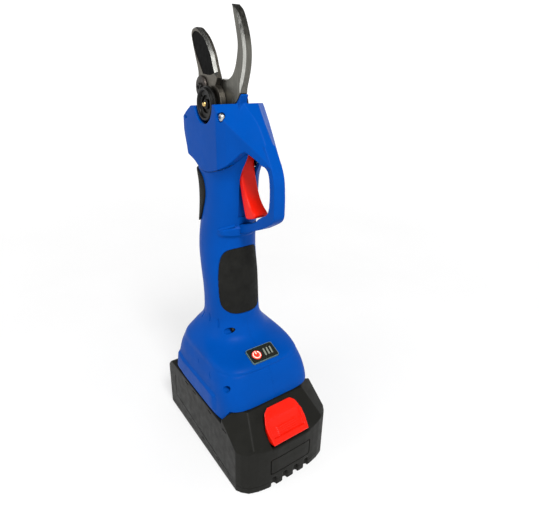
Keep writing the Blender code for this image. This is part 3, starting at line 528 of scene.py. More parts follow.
def studio_floor(name):
    """White floor with a glow that fades towards the middle, so that shadows show there."""
    look = Look(name)
    look.put("Specular IOR Level", 0.05)
    look.put("Emission Color", (1.0, 1.0, 1.0, 1.0))
    glow = look.tree.nodes.new("ShaderNodeTexGradient")
    glow.gradient_type = "SPHERICAL"
    look.link(look.stretched((0.8, 0.8, 0.8)), glow.inputs["Vector"])
    strength = look.tree.nodes.new("ShaderNodeMapRange")
    strength.inputs["To Min"].default_value = 0.86
    strength.inputs["To Max"].default_value = 0.52
    look.link(glow.outputs["Fac"], strength.inputs["Value"])
    look.link(strength.outputs["Result"], look.shader.inputs["Emission Strength"])
    look.colour(look.ramp(look.noise(6, 3), (0.3, 0.36), (0.7, 0.39)))
    look.roughness(0.6, 0.75, 12, 3)
    return look.bumps((look.noise(400, 2), 0.01))


BLUE = plastic("blue_plastic_look", (0.0, 0.054, 0.295), rough=(0.32, 0.44), depth=0.010, shine=0.03)
# darker, rougher copy of the blue plastic: painted shade for the floor of the trigger's slot
SLOT_SHADE_BLUE = plastic("painted_slot_shade_blue_look", (0.0002, 0.036, 0.22), rough=(0.5, 0.65), shine=0.05)
CHARCOAL = plastic("charcoal_plastic_look", (0.0095, 0.0095, 0.0080), rough=(0.36, 0.50), grain=1700,
                   depth=0.03, mottle=0.14, shine=0.08)
RED = plastic("red_plastic_look", (0.68, 0.008, 0.001), rough=(0.30, 0.42), depth=0.008, shine=0.16)
PALE_LINE = plastic("pale_print_look", (0.10, 0.17, 0.17), rough=(0.4, 0.5))
PANEL_BLACK = plastic("panel_black_look", (0.012, 0.014, 0.011), rough=(0.22, 0.32), coat=0.4)
LENS = plastic("light_lens_look", (0.20, 0.22, 0.18), rough=(0.25, 0.35), coat=0.2)
NATURAL = plastic("natural_plastic_look", (0.30, 0.29, 0.27), rough=(0.5, 0.6))
SLEEVE = plastic("cell_sleeve_look", (0.05, 0.22, 0.32), rough=(0.28, 0.38), coat=0.3)
RUBBER = rubber("grip_rubber_look", (0.0085, 0.0085, 0.0075))
BLADE_STEEL = ground_steel("ground_blade_steel_look", (0.130, 0.127, 0.112))
BEVEL_STEEL = ground_steel("sharpened_steel_look", (0.50, 0.50, 0.47), rough=(0.2, 0.34), scale=2200)
HUB_STEEL = ground_steel("hub_steel_look", (0.115, 0.105, 0.088), rough=(0.32, 0.5))
MACHINED = ground_steel("machined_steel_look", (0.50, 0.50, 0.49), along=(1.0, 1.0, 0.2), scale=1100)
BLADE_BLACK = coated_steel("black_blade_coat_look", (0.0022, 0.0022, 0.0022), rough=(0.5, 0.66),
                           metallic=0.0, shine=0.04)
DARK_STEEL = coated_steel("black_oxide_look", (0.010, 0.0098, 0.0092))
BROWN_STEEL = coated_steel("brown_oxide_look", (0.040, 0.034, 0.030), rough=(0.36, 0.5), metallic=0.8)
ALUMINIUM = cast_metal("cast_aluminium_look", (0.50, 0.51, 0.52))
BRASS = ground_steel("brass_look", (0.62, 0.43, 0.16), rough=(0.25, 0.4), along=(1.0, 1.0, 1.0), scale=900)
COPPER = windings("copper_windings_look")
BOARD = board("solder_mask_look")
GLOW_RED = glowing("lit_red_look", (0.85, 0.03, 0.012), 0.35)
GLOW_WHITE = glowing("lit_ring_look", (1.0, 0.50, 0.42), 0.9)


def dress(obj, *looks):
    obj.data.materials.clear()
    for look in looks:
        obj.data.materials.append(look)


def place(obj, look, body, slot, *nodes):
    """Give a piece its material and body, and hide the CAD nodes that it stands for. The slot argument is
    not used.
    """
    if look:
        dress(obj, look)
        for face in obj.data.polygons:
            face.material_index = 0
    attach(obj, body)
    if nodes:
        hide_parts(*nodes)
    return obj


# ---- battery
CORNERS = (
    ((0, -BAT_HALF_L, 34.4), (0, -0.70, 0.714)),
    ((0, BAT_HALF_L, 35.0), (0, 0.62, 0.785)),
    ((-BAT_HALF_W, -54.5, 33.5), (-0.52, -0.50, 0.69)),
    ((BAT_HALF_W, -54.5, 33.5), (0.52, -0.50, 0.69)),
    ((-BAT_HALF_W, 55.5, 37.5), (-0.6, 0.62, 0.5)),
    ((BAT_HALF_W, 55.5, 37.5), (0.6, 0.62, 0.5)),
)


def battery_plan(inset=0.0):
    """Battery seen from above; the hollow inside has plainer corners."""
    w, l = BAT_HALF_W - inset, BAT_HALF_L - inset
    if inset:
        return mirrored([(w - 7, l), (w, l - 7), (w, -l + 10), (w - 8, -l + 3), (w - 18.5, -l + 0.6)])
    return mirrored([(w - 7, l), (w - 2.4, l - 2.2), (w, l - 7), (w, -l + 11.5), (w - 2.0, -l + 8.2),
                     (w - 5.9, -l + 4.3), (w - 11.7, -l + 2.1), (w - 17.4, -l + 0.9), (w - 25.5, -l)])


def latch_plan(grow=0.0, forward=0.0):
    """Latch button seen from above, or the opening left for it."""
    return mirrored([(9.4 + grow, -44.6 + grow), (12.8 + grow, -46.6 + grow), (15.2 + grow, -51.5),
                     (15.4 + grow, -55.5), (14.4 + grow, -61.2 - forward)])


def raised(outline, rise):
    return [(x, z + rise) for x, z in outline]


def battery_grooves():
    """Panel lines, snap openings and the blank label frame, as round bars and slots to be cut away."""
    bars = []
    for side in (-1, 1):
        x = side * BAT_HALF_W
        line = [(x, 43, 34.6), (x, 43.4, 24), (x, 43.4, 15.6), (x, 42.6, 14.6), (x, 0, 10.9), (x, -43, 7.2)]
        bars.append(tube("groove", line, 0.42))
        for y in (21, 8.4, -15.2, -36.2):
            bars.append(box("slot", (x - 1.2, x + 1.2), (y - 2.6, y + 2.6), (41.6, 42.6)))
        for y in (20, -3, -25):
            bars.append(box("slot", (x - 0.8, x + 0.8), (y - 2.0, y + 2.0), (6.2, 7.0)))
    label = prism("slot", raised(rounded(16.9, 6.9, 1.6), 18.5), "Y", -63, -60.35)
    cut(label, slab(raised(rounded(16.1, 6.1, 1.2), 18.5), "Y", -65, -58))
    bars.append(label)
    return joined(bars)


def battery_hollow():
    """Space inside the battery, one wall thickness in from the outside."""
    hollow = prism("hollow", battery_plan(CASE_WALL), "Z", 2.4, BAT_TOP_Z - CASE_WALL)
    for point, normal in CORNERS:
        cut(hollow, half_space(Vector(point) - Vector(normal).normalized() * CASE_WALL, normal))
    return hollow


def make_battery_case():
    case = prism("battery_case_upper_shell", battery_plan(), "Z", 0, HUMP_Z)
    behind = [(-31.8, BAT_TOP_Z), (-31.8, 48), (-34.8, 54.6), (-34.8, 80), (80, 80), (80, BAT_TOP_Z)]
    cut(case, slab(behind, "X", -60, 60))
    cut(case, *[half_space(*corner) for corner in CORNERS])
    cut(case, slab(latch_plan(0.3, 12.0), "Z", 33.9, 80))
    for x in (-13.9, -4.6, 4.6, 13.9):
        outline = [(x - 2.3, -70), (x + 2.3, -70), (x + 1.7, -59.2), (x - 1.7, -59.2)]
        cut(case, slab(outline, "Z", -1, 8.2))
    moulded(case, 0.45, 12, 0.16)
    rail = box("rail", (-22, 22), (-32.5, 30), (BAT_TOP_Z - 1, 50))
    add(rail, box("flange", (-26, 26), (-34, 30), (49.9, 53.2)))
    add(case, rail)
    cut(case, block((-14.6, 14.6), (8, 40), (BAT_TOP_Z - 3.6, 60)))
    cut(case, battery_grooves(), battery_hollow())
    add(case, box("spring_seat", (-36, 36), (-52, -45.3), (31.0, 33.0)))
    lower = twin(case, "battery_case_lower_shell")
    cut(case, block((-60, 60), (-90, 90), (-5, SPLIT_Z + GAP)))
    cut(lower, block((-60, 60), (-90, 90), (SPLIT_Z, 90)))
    place(tidy(case, 40), CHARCOAL, "battery_pack", "black_plastic", "battery_upper_case")
    place(tidy(lower, 40), CHARCOAL, "battery_pack", "black_plastic", "battery_lower_case")


def make_latch():
    side = [(-44.6, 54.0), (-61.2, 37.6), (-61.2, 36.6), (-56, 36.6), (-51.6, 41.4), (-44.6, 41.4)]
    latch = prism("latch_push_button", side, "X", -16, 16)
    keep(latch, slab(latch_plan(), "Z", 20, 70))
    scoop_side = [(-47.3, 60), (-50.4, 47.0), (-52.6, 44.2), (-66, 31.5), (-70, 60)]
    scoop_plan = [(-11.9, -46), (11.9, -46), (13.0, -50), (11.7, -70), (-11.7, -70), (-13.0, -50)]
    scoop = slab(scoop_side, "X", -14, 14)
    keep(scoop, slab(scoop_plan, "Z", 20, 70))
    cut(scoop, half_space((0, -58.8, 40.0), (0, -0.70, -0.714)))
    cut(latch, scoop)
    ridges = []
    for k in range(5):
        y = -53.8 - 0.98 * k
        z = 44.2 + (y + 52.6) * 12.7 / 13.4
        ridges.append(tube("ridge", [(-7.6, y, z), (7.6, y, z)], 0.42))
    add(latch, joined(ridges))
    moulded(latch, 0.26, 5, 0.4)
    place(tidy(latch, 50), RED, "battery_latch", "red_plastic", "battery_latch_button")


# ---- handle and foot
def section_at(z):
    """Section values at a height, curving smoothly through the rows of the table."""
    rows = HANDLE_SECTIONS
    z = min(max(z, rows[0][0]), rows[-1][0])
    i = max(k for k in range(len(rows) - 1) if rows[k][0] <= z)
    low, high = rows[i], rows[i + 1]
    before, after = rows[max(i - 1, 0)], rows[min(i + 2, len(rows) - 1)]
    span = high[0] - low[0]
    t = (z - low[0]) / span
    values = []
    for k in range(1, 5):
        start = (high[k] - before[k]) / (high[0] - before[0]) * span
        end = (after[k] - low[k]) / (after[0] - low[0]) * span
        values.append(between(low[k], high[k], start, end, t))
    return values


def step_up(value, low, high):
    """0 below low, 1 above high, smooth between."""
    t = min(max((value - low) / (high - low), 0.0), 1.0)
    return t * t * (3 - 2 * t)


def relief(x, y, z):
    """How far the surface is raised: side rails and front crease of the foot, and the guard arm's root."""
    rail = step_up(y, -21.5, -18.5) * step_up(z, 47.0, 48.6) * (1 - step_up(z, 59.2, 61.4))
    rail *= step_up(abs(x), 28, 33) * (1 - step_up(y, 36, 41))
    front = step_up(-y, 14, 24)
    crease_z = 76.6 + 1.0 * step_up(x, 5, 24)
    crease = math.exp(-((z - crease_z) / 0.75) ** 2) * front * (1 - step_up(x, 17, 24))
    arm = step_up(z, 161.0, 162.8) * (1 - step_up(z, 166.8 - 0.3 * y, 168.4 - 0.3 * y))
    arm *= 1 - step_up(y, 3.0, 7.8)
    return 1.5 * rail - 0.6 * crease + 1.3 * arm


def front_squareness(z, n):
    """Squareness of the front half: the shoulder under the neck is rounder in front than behind."""
    return n + (2.0 - n) * max(0.0, 1.0 - abs(z - 86.5) / 10.0)


def handle_ring(z, inset, count, carved):
    yc, a, b, n = section_at(z)
    ring = []
    for k in range(count):
        t = 2 * math.pi * (k + 0.5) / count
        c, s = math.cos(t), math.sin(t)
        m = n if s > 0 else front_squareness(z, n)
        x = math.copysign(abs(c) ** (2 / m), c)
        y = math.copysign(abs(s) ** (2 / m), s)
        out = relief(a * x, yc + b * y, z) - inset if carved else -inset
        ring.append((max(-RAIL_HALF_W, min(RAIL_HALF_W, (a + out) * x)), yc + (b + out) * y, z))
    return ring


def handle_solid(name, inset, low, high, count=112, pitch=1.6, carved=False):
    """Solid inside the handle's outline, moved in by inset, from low to high."""
    heights, z = [], low
    while z < high - 0.3:
        heights.append(z)
        z += 0.6 if carved and (z < 82 or 158 < z < 171) else pitch
    rings = [handle_ring(z, inset, count, carved) for z in heights + [high]]
    if carved:
        rings[0] = [(x * 0.985, y * 0.985 + 0.06, z) for x, y, z in rings[0]]
    return loft(name, rings)


SEAM = ((60, 209.6), (40, 209.3), (31, 206.5), (24, 203), (16, 201.9), (7, 203.6), (-4, 207.8),
        (-11, 212.6), (-15.5, 216.8), (-19, 218.6), (-60, 219))


def above_seam(shift):
    """Everything above the S-shaped joint line between handle and head cover."""
    line = [(y, z + shift) for y, z in SEAM] + [(-60, 330), (60, 330)]
    return slab(flowing(line, corners=(0, 9, 10, 11, 12)), "X", -60, 60)


def pad_region(rear, grow):
    """Side-view outline of a rubber pad, extruded across the handle."""
    if rear:
        line = [(60, 200 + grow), (30, 201 + grow), (21.5 - grow, 198), (17.8 - grow, 190),
                (20.0 - grow, 180), (29 - grow, 166.3 - grow), (60, 162 - grow)]
        return slab(flowing(line, corners=(0, 6)), "X", -40, 40)
    line = [(-20, 155.5 + grow), (-2, 153.5 + grow), (3.4 + grow, 150.5), (6.1 + grow, 143),
            (5.9 + grow, 127), (4.2 + grow, 112), (0.5, 107.4 - grow), (-4, 105.4 - grow),
            (-20, 105.0 - grow)]
    return slab(flowing(line, corners=(0, 8)), "X", -40, 40)


PAD_SPAN = {True: (158, 205), False: (100, 160)}
PAD_RISE = {True: 1.2, False: 0.0}


def make_pad(name, rear, node):
    low, high = PAD_SPAN[rear]
    pad = handle_solid(name, -PAD_RISE[rear], low, high)
    cut(pad, handle_solid("cutter", PAD_DEPTH, low - 1, high + 1))
    keep(pad, pad_region(rear, 0.0))
    moulded(pad, 0.32, 4, 0.35)
    place(tidy(pad, 50), RUBBER, "tool", "grip_rubber", node)


PANEL_CENTRE = (0.0, -24.7, 82.5)
PANEL_NORMAL = Vector((0.0, -0.33, 0.944)).normalized()
PANEL_HALF = (10.6, 6.0)
BUTTON_AT = (-4.6, 0.0)
LIGHTS_AT = (2.0, 4.6, 7.2)


def on_panel(obj):
    """Move an object drawn on the XY plane about the origin onto the panel's slope."""
    x = Vector((1, 0, 0))
    y = PANEL_NORMAL.cross(x)
    turn = Matrix((x, y, PANEL_NORMAL)).transposed().to_4x4()
    obj.data.transform(Matrix.Translation(Vector(PANEL_CENTRE) * MM) @ turn)
    return obj


# name, height, y, how deep the head sits
SHELL_SCREWS = (("shell_screw_neck", 93.4, -3.0, 2.2), ("shell_screw_foot_front", 69.0, -29.2, 10.0))


def half_width(z, y):
    """Outside half width of the handle at a height and a y."""
    yc, a, b, n = section_at(z)
    m = n if y > yc else front_squareness(z, n)
    return a * (1 - min(abs((y - yc) / b), 0.999) ** m) ** (1 / m)


def make_screw_head(name, x, y, z, radius, shank, length, look, slot, node):
    """Pan head on the left with a six-point socket, and a shank running to the right."""
    profile = [(0, x), (radius * 0.72, x), (radius * 0.9, x + 0.18), (radius, x + 0.55), (radius, x + 1.5),
               (shank, x + 2.1), (shank, x + length - 1), (0, x + length)]
    obj = lathe(name, profile, "X", (y, z), 40)
    star = []
    for k in range(24):
        t = 2 * math.pi * k / 24
        r = radius * (0.42 + 0.09 * math.cos(6 * t))
        star.append((y + r * math.cos(t), z + r * math.sin(t)))
    cut(obj, slab(star, "X", x - 1, x + 1.0))
    place(tidy(obj, 35), look, "tool", slot, node)


def screw_boss_and_hole(solid, name, z, y, depth):
    head_x = -half_width(z, y) + depth
    for low, high, r in ((-80, -0.6, 4.7), (0.6, 80, 3.6)):
        boss = lathe("boss", [(0, low), (r, low), (r, high), (0, high)], "X", (y, z), 36, turn=0.11)
        keep(boss, handle_solid("cutter", 1.1, 45.3, HANDLE_TOP))
        add(solid, boss)
    hole = [(0, -80), (2.2, -80), (2.2, head_x + 2.4), (1.3, head_x + 2.8), (1.3, 6.5), (0, 6.5)]
    cut(solid, lathe("cutter", hole, "X", (y, z), 40, turn=0.05))
    make_screw_head(name + "_torx", head_x, y, z, 2.0, 1.1, 5.2 - head_x, DARK_STEEL, "dark_steel", name)


def surface_groove(points, radius, side=-1):
    """Round groove between two (y, z) points on the side of the handle."""
    (y0, z0), (y1, z1) = points
    spots = [(y0 + (y1 - y0) * t, z0 + (z1 - z0) * t) for t in (0.0, 0.34, 0.67)] + [points[1]]
    return tube("groove", [(side * half_width(z, y), y, z) for y, z in spots], radius, sides=8)


VENT_LINES = (((23.7, 98.2), (24.6, 92.8)), ((14.6, 100.4), (12.5, 95.2)), ((5.7, 99.8), (3.1, 94.2)))
TICK_LINES = (((6.8, 72.6), (3.6, 69.6)), ((-10.2, 71.6), (-13.4, 68.6)))


def foot_marks():
    """Three vent slits beside the neck and two faint ticks on the foot, on the left."""
    marks = [surface_groove(line, 0.8) for line in VENT_LINES]
    marks += [surface_groove(line, 0.35) for line in TICK_LINES]
    return joined(marks)


TRIGGER_SLOT = 5.5
SEAM_HALF = 0.03
GUARD_HALF_W = 3.8


def make_handle():
    solid = handle_solid("solid", 0.0, FOOT_Z, HANDLE_TOP + 1, carved=True)
    cut(solid, inner_solid(), above_seam(-GAP))
    front_low = [(-80, 30), (-31.5, 30), (-31.5, 48), (-34.5, 54.6), (-80, 54.6)]
    cut(solid, slab(front_low, "X", -60, 60))
    for row in SHELL_SCREWS:
        screw_boss_and_hole(solid, *row)
    for rear in (True, False):
        low, high = PAD_SPAN[rear]
        band = handle_solid("band", -2.0, low, high)
        cut(band, handle_solid("cutter", PAD_DEPTH + GAP, low - 6, high + 6))
        keep(band, pad_region(rear, 0.22))
        cut(solid, band)
    cut(solid, block((-TRIGGER_SLOT, TRIGGER_SLOT), (-30, 2.6), (175.3, 230)))
    arm_room = [(-1.0, 163.0), (-8, 165.5), (-30, 174.9), (-30, 181.5), (-19.5, 176.6),
                (-11.3, 173.2), (-1.0, 169.9)]
    arm_half = GUARD_HALF_W + 0.12
    cut(solid, slab(arm_room, "X", -arm_half, arm_half))
    for side in (-1, 1):
        cut(solid, surface_groove(((5.6, 165.6), (-2.0, 169.6)), 1.1, side))
    hole = rounded(PANEL_HALF[0] + 0.2, PANEL_HALF[1] + 0.2, 1.8)
    cut(solid, on_panel(slab(hole, "Z", -8, 12)), foot_marks())
    for name, side in (("handle_half_left", -1), ("handle_half_right", 1)):
        obj = twin(solid, name)
        cut(obj, block(tuple(sorted((-side * 80, side * SEAM_HALF))), (-80, 80), (0, 330)))
        rail = box("rail", tuple(sorted((side * 35.4, side * 23.3))), (-24, 33), (46.2, 49.5))
        add(obj, rail)
        node = "handle_shell_left" if side < 0 else "handle_shell_right"
        place(tidy(obj, 32), BLUE, "tool", "blue_plastic", node)
    bpy.data.objects.remove(solid)


def inner_solid():
    """Space inside the handle and foot, open below and above."""
    heights = [FOOT_Z, *range(50, HANDLE_TOP, 4), HANDLE_TOP]
    rings = [handle_ring(z, HANDLE_WALL, 64, False) for z in heights]
    rings[0] = [(x, y, 30.0) for x, y, _ in rings[0]]
    rings[-1] = [(x, y, 240.0) for x, y, _ in rings[-1]]
    return loft("cutter", rings)


def make_slot_liner():
    """Solid floor of the trigger's slot, just behind the way of the pulled trigger."""
    line = [(-3.6, 175.5), (-3.2, 180), (-2.3, 188.5), (-1.1, 200), (0.0, 208), (0.5, 211.5), (0.5, 217)]
    liner = prism("trigger_slot_floor", line + [(1.05, 217), (1.05, 175.5)], "X", -5.4, 5.4)
    # the slot floor takes the darker copy of the blue, painted shade in the slot
    place(tidy(liner, 30), SLOT_SHADE_BLUE, "tool", "blue_plastic")


# ---- panel with power button and charge lights
def make_panel():
    plate = prism("panel_plate", rounded(PANEL_HALF[0] - 0.36, PANEL_HALF[1] - 0.36, 1.4), "Z", -1.6, 0.5)
    cut(plate, slab(arc((BUTTON_AT[0], 0), 3.75, 0, 352.5, 47), "Z", -5, 5))
    for x in LIGHTS_AT:
        cut(plate, shifted_bar(x, 0.75, 3.0))
    place(tidy(on_panel(plate), 30), PANEL_BLACK, "tool", "black_plastic", "status_panel")
    rim = prism("panel_outline", rounded(*PANEL_HALF, 1.7), "Z", -1.6, 0.56)
    cut(rim, slab(rounded(PANEL_HALF[0] - 0.32, PANEL_HALF[1] - 0.32, 1.4), "Z", -5, 5))
    place(tidy(on_panel(rim), 30), PALE_LINE, "tool", "black_plastic")
    for k, x in enumerate(LIGHTS_AT):
        bar = on_panel(shifted_bar(x, 0.6, 2.85, -2.1, 0.5))
        bar.name = "charge_bar_%d" % (k + 1)
        place(tidy(bar, 30), LENS, "tool", "light_lens", "charge_light_%d" % (k + 1))
    centre = BUTTON_AT
    key = lathe("power_key", [(0, -1.6), (3.4, -1.6), (3.4, 0.45), (3.2, 0.7), (2.2, 0.66), (0, 0.6)], "Z",
                centre, 64)
    place(tidy(on_panel(key), 35), GLOW_RED, "power_button", "red_plastic", "power_button")
    sweep = [(px, py, 0.62) for px, py in arc(centre, 2.55, 122, 418, 36)]
    upright = [(centre[0], y, 0.62) for y in (0.5, 3.0)]
    for name, path, radius in (("power_symbol_arc", sweep, 0.42), ("power_symbol_stem", upright, 0.36)):
        place(tidy(on_panel(tube(name, path, radius)), 60), GLOW_WHITE, "power_button", "red_plastic")


def shifted_bar(x, half_w, half_h, low=-5, high=5):
    """Slanted upright bar on the panel, centred at x."""
    lean = 0.35
    outline = [(x + px + lean * py / half_h, py) for px, py in rounded(half_w, half_h, 0.28, 3)]
    return prism("bar", outline, "Z", low, high)


# ---- head cover with trigger guard
COVER_BODY = (
    (-10, 243.5), (33, 239.7), (48, 231), (40, 209.3), (31, 206.5), (24, 203), (16, 201.9),
    (7, 203.6), (-4, 207.8), (-11, 212.6), (-15.5, 216.8), (-19, 218.6), (-24, 216), (-30, 212),
    (-36, 212), (-29, 222.5), (-20, 234))
COVER_CORNERS = (0, 1, 2, 3, 10, 11, 12, 13, 14)
COVER_PLAN = (
    (48.2, 14.5), (45, 16.5), (40, 17), (1, 17), (-6.7, 14.8), (-17, 10.9), (-26, 7.2), (-32, 4.9),
    (-37, 3.8))
GUARD_LOOP = (
    (-18, 226), (-19.5, 217.5), (-24, 212.6), (-30, 211), (-33, 208.3), (-34.5, 201), (-34.6, 193),
    (-33.6, 187), (-31, 183.8), (-27.5, 182), (-23.5, 179.4), (-19.5, 176.2), (-11.3, 172.9), (-1.3, 169.6),
    (-1.3, 163.2), (-8, 165.8), (-26, 173.6), (-36, 179.5), (-39, 182.5), (-39.8, 186), (-39.6, 197),
    (-38.5, 206), (-36, 212), (-29, 222.5))
GUARD_CORNERS = (0, 13, 14, 16, 23)
CHAMFER_POINT = (4.7, -10.0, 243.5)
CHAMFER_WALL = 1.3
CHAMFER_NORMAL = (0.667, -0.586, 0.461)
COVER_SCREW_AT = (-2.4, 235.8)


def plan_outline(points):
    """Outline seen from above, from (y, half width) pairs."""
    return mirrored([(x, y) for y, x in points])


def chamfers(depth):
    """The space beyond the two slanting faces at the front of the cover, moved in by depth."""
    blocks = []
    for side in (-1, 1):
        normal = Vector((side * CHAMFER_NORMAL[0], *CHAMFER_NORMAL[1:])).normalized()
        point = Vector((side * CHAMFER_POINT[0], *CHAMFER_POINT[1:]))
        blocks.append(half_space(point - normal * depth, normal))
    return blocks


def make_head_cover():
    outline = flowing(COVER_BODY, COVER_CORNERS)
    cover = prism("head_cover_and_guard", outline, "X", -COVER_HALF_W, COVER_HALF_W)
    keep(cover, slab(plan_outline(COVER_PLAN), "Z", 150, 260))
    cut(cover, *chamfers(0.0))
    guard = prism("guard", flowing(GUARD_LOOP, GUARD_CORNERS), "X", -GUARD_HALF_W, GUARD_HALF_W)
    add(cover, guard)
    inner = [(-5.5, 240.3), (31.5, 236.7), (45, 229.0), (37.2, 206), (37, 190), (-2, 190), (-3.5, 206),
             (-9, 212), (-13, 217.5), (-14.5, 222), (-12.0, 230)]
    hollow = slab(inner, "X", COVER_WALL - COVER_HALF_W, COVER_HALF_W - COVER_WALL)
    plan = [(46, 12.5), (42, 14.3), (3, 14.3), (-7, 11.4), (-17, 7.2)]
    keep(hollow, slab(plan_outline(plan), "Z", 150, 260))
    cut(hollow, *chamfers(CHAMFER_WALL))
    cut(cover, hollow)
    for x, y, z in (((-11.9, -9.3), (-4.6, 38), (222, 236.8)), ((-11.8, -7.5), (-2.7, 38), (222.2, 236.7)),
                    ((-11.7, -7.6), (-0.3, 38), (230, 262))):
        cut(cover, block(x, y, z))
    slot = [(-2.4, 222), (-2.4, 239.4), (-3.4, 240.2), (-10.9, 248.9), (-20, 262), (38, 262), (38, 222)]
    cut(cover, slab(slot, "X", -7.7, -2.3))
    cut(cover, block((-2.5, 5.8), (3.1, 29.5), (222, 262)))
    cut(cover, block((5.0, 11.7), (7.9, 25.1), (222, 262)))
    tongue = [(-3.5, 239.8), (-3.5, 240.4), (-10.7, 248.5), (-11.7, 248.0), (-9.8, 243.2), (-9.8, 239.8)]
    add(cover, prism("tongue", tongue, "X", -7.3, -2.7))
    notch = [(AXIS_Y - 11.2, 262)] + arc(PIVOT, 11.2, 180, 360, 40) + [(AXIS_Y + 11.2, 262)]
    cut(cover, slab(notch, "X", -20, -11.5))
    cut(cover, block((-5.5, 5.5), (-21.2, 3), (205, 223.5)))
    cut(cover, slab(rounded_at(40.2, 232.4, 1.6, 1.1), "X", -20, -16.0))
    moulded(cover, 0.36, 4, 0.2)
    cut(cover, rod(1.5, -14.6, 14.6, TRIGGER_PIVOT, 32))
    hole = [(0, -20), (2.7, -20), (2.7, -13.6), (1.6, -13.6), (1.6, -9), (0, -9)]
    cut(cover, lathe("cutter", hole, "X", COVER_SCREW_AT, 40))
    place(tidy(cover, 40), BLUE, "tool", "blue_plastic", "head_cover")
    make_screw_head("cover_torx_screw", -15.9, *COVER_SCREW_AT, 2.3, 1.2, 6.0, MACHINED, "bright_steel",
                    "cover_screw")


def rounded_at(y, z, half_y, half_z):
    return [(y + py, z + pz) for py, pz in rounded(half_y, half_z, 0.6, 3)]


# ---- trigger
TRIGGER = (
    (-6.2, 213.0), (-6.8, 206), (-8.4, 200), (-12.4, 190.5), (-16.6, 185.2), (-20.6, 182.4), (-21.8, 180.9),
    (-20.6, 179.2), (-15, 177.2), (-12.4, 176.8), (-10.9, 178.4), (-7.4, 188.5), (-4.2, 200), (-1.6, 208),
    (-0.2, 211), (-0.4, 216.4), (-3.4, 218.0), (-5.8, 216.6))


def make_trigger():
    trigger = prism("finger_trigger", flowing(TRIGGER, (), 4), "X", -5.0, 5.0)
    cut(trigger, rod(1.5, -20, 20, TRIGGER_PIVOT, 32))
    moulded(trigger, 0.26, 60, 0.3)
    place(tidy(trigger, 50), RED, "trigger", "red_plastic", "trigger")


# ---- blades and pivot
FIXED_BLADE = (
    (-2.8, 291.9), (-4.1, 287.5), (-5.9, 281.9), (-7.4, 275.8), (-7.7, 272.0), (-7.1, 267.6),
    (-5.5, 262.6), (-2.8, 258.6), (0.6, 256.3), (4.8, 255.3), (12.0, 255.6), (20.5, 254.6), (26.5, 251.0),
    (30.0, 245.5), (30.8, 239.5), (29.0, 233.0), (24.2, 228.6), (16.5, 226.8), (8.8, 228.6), (2.6, 233.5),
    (-3.0, 240.6), (-10.2, 248.8), (-10.6, 251.5), (-12.5, 256.4), (-14.3, 262.0), (-14.9, 268.5),
    (-13.8, 275.2), (-11.3, 281.6), (-7.2, 288.8))
MOVING_BLADE = (
    (33.2, 282.9), (37.0, 282.0), (38.7, 279.2), (37.8, 274.8), (35.8, 269.4), (33.7, 264.2), (31.9, 259.4),
    (31.4, 255.5), (31.8, 250.5), (30.2, 245.5), (28.9, 240.5), (27.8, 235.5), (25.0, 231.4), (19.4, 228.2),
    (15.6, 216.5), (10.9, 217.1), (6.3, 218.7), (2.2, 221.0), (-1.5, 224.1), (1.8, 231.0), (4.3, 237.6),
    (4.2, 243.0), (5.3, 246.8), (7.6, 250.1), (10.7, 252.2), (8.4, 256.0), (9.4, 258.2), (11.6, 262.7),
    (13.1, 266.8), (15.2, 270.4), (18.4, 274.6), (21.8, 277.8), (26.5, 280.8), (29.8, 282.4))
BLACK_COAT = (
    (25.4, 257.9), (28.4, 262), (32.0, 266.6), (35.2, 271.4), (37.0, 275.6), (37.3, 278.6), (34.6, 280.6),
    (30.2, 280.4), (25.6, 278.4), (20.9, 275.4), (17.0, 271.0), (14.2, 266.8), (12.0, 262.2), (10.9, 258.6),
    (16.0, 257.4))
BLADE_FOOT_Z = 257.0


def ground_plate(name, outline, left, right, bevels):
    """Plate whose left edge is ground away; bevels(y, z) gives how far in and how deep at an edge point."""
    n = len(outline)
    inner, edge = [], []
    for i, (y, z) in enumerate(outline):
        way = Vector(outline[(i + 1) % n]) - Vector(outline[i - 1])
        inward = Vector((way.y, -way.x)).normalized()
        wide, deep = bevels(y, z)
        inner.append((left, y + inward.x * wide, z + inward.y * wide))
        edge.append((left + deep, y, z))
    far = [(right, y, z) for y, z in outline]
    verts = inner + edge + far
    faces = [tuple(range(n)), tuple(range(2 * n, 3 * n))]
    for row in (0, n):
        faces += [(row + i, row + (i + 1) % n, row + n + (i + 1) % n, row + n + i) for i in range(n)]
    return build(name, verts, faces)


def clockwise(outline):
    """The outline turned so that its inside lies to the right of travel."""
    area = sum(a[0] * b[1] - b[0] * a[1] for a, b in zip(outline, outline[1:] + outline[:1]))
    return outline if area < 0 else outline[::-1]


def make_fixed_blade():
    outline = clockwise(flowing(FIXED_BLADE, (0, 21), 4))

    def bevels(y, z):
        spine = step_up(-y, 6.0, 10.5) * step_up(z, 249, 254)
        return 0.35 + 0.9 * spine, 0.3 + 0.95 * spine

    blade = ground_plate("anvil_blade", outline, FIXED_LOW.x, FIXED_HIGH.x, bevels)
    cut(blade, rod(5.4, -20, 20, PIVOT, 48))
    tidy(blade, 18)
    dress(blade, BLADE_STEEL, BEVEL_STEEL)
    for face in blade.data.polygons:
        sloped = face.normal.x < -0.3 and face.normal.x > -0.95
        face.material_index = 1 if sloped and face.center.z > 0.249 else 0
    place(blade, None, "tool", "bright_steel", "fixed_blade")


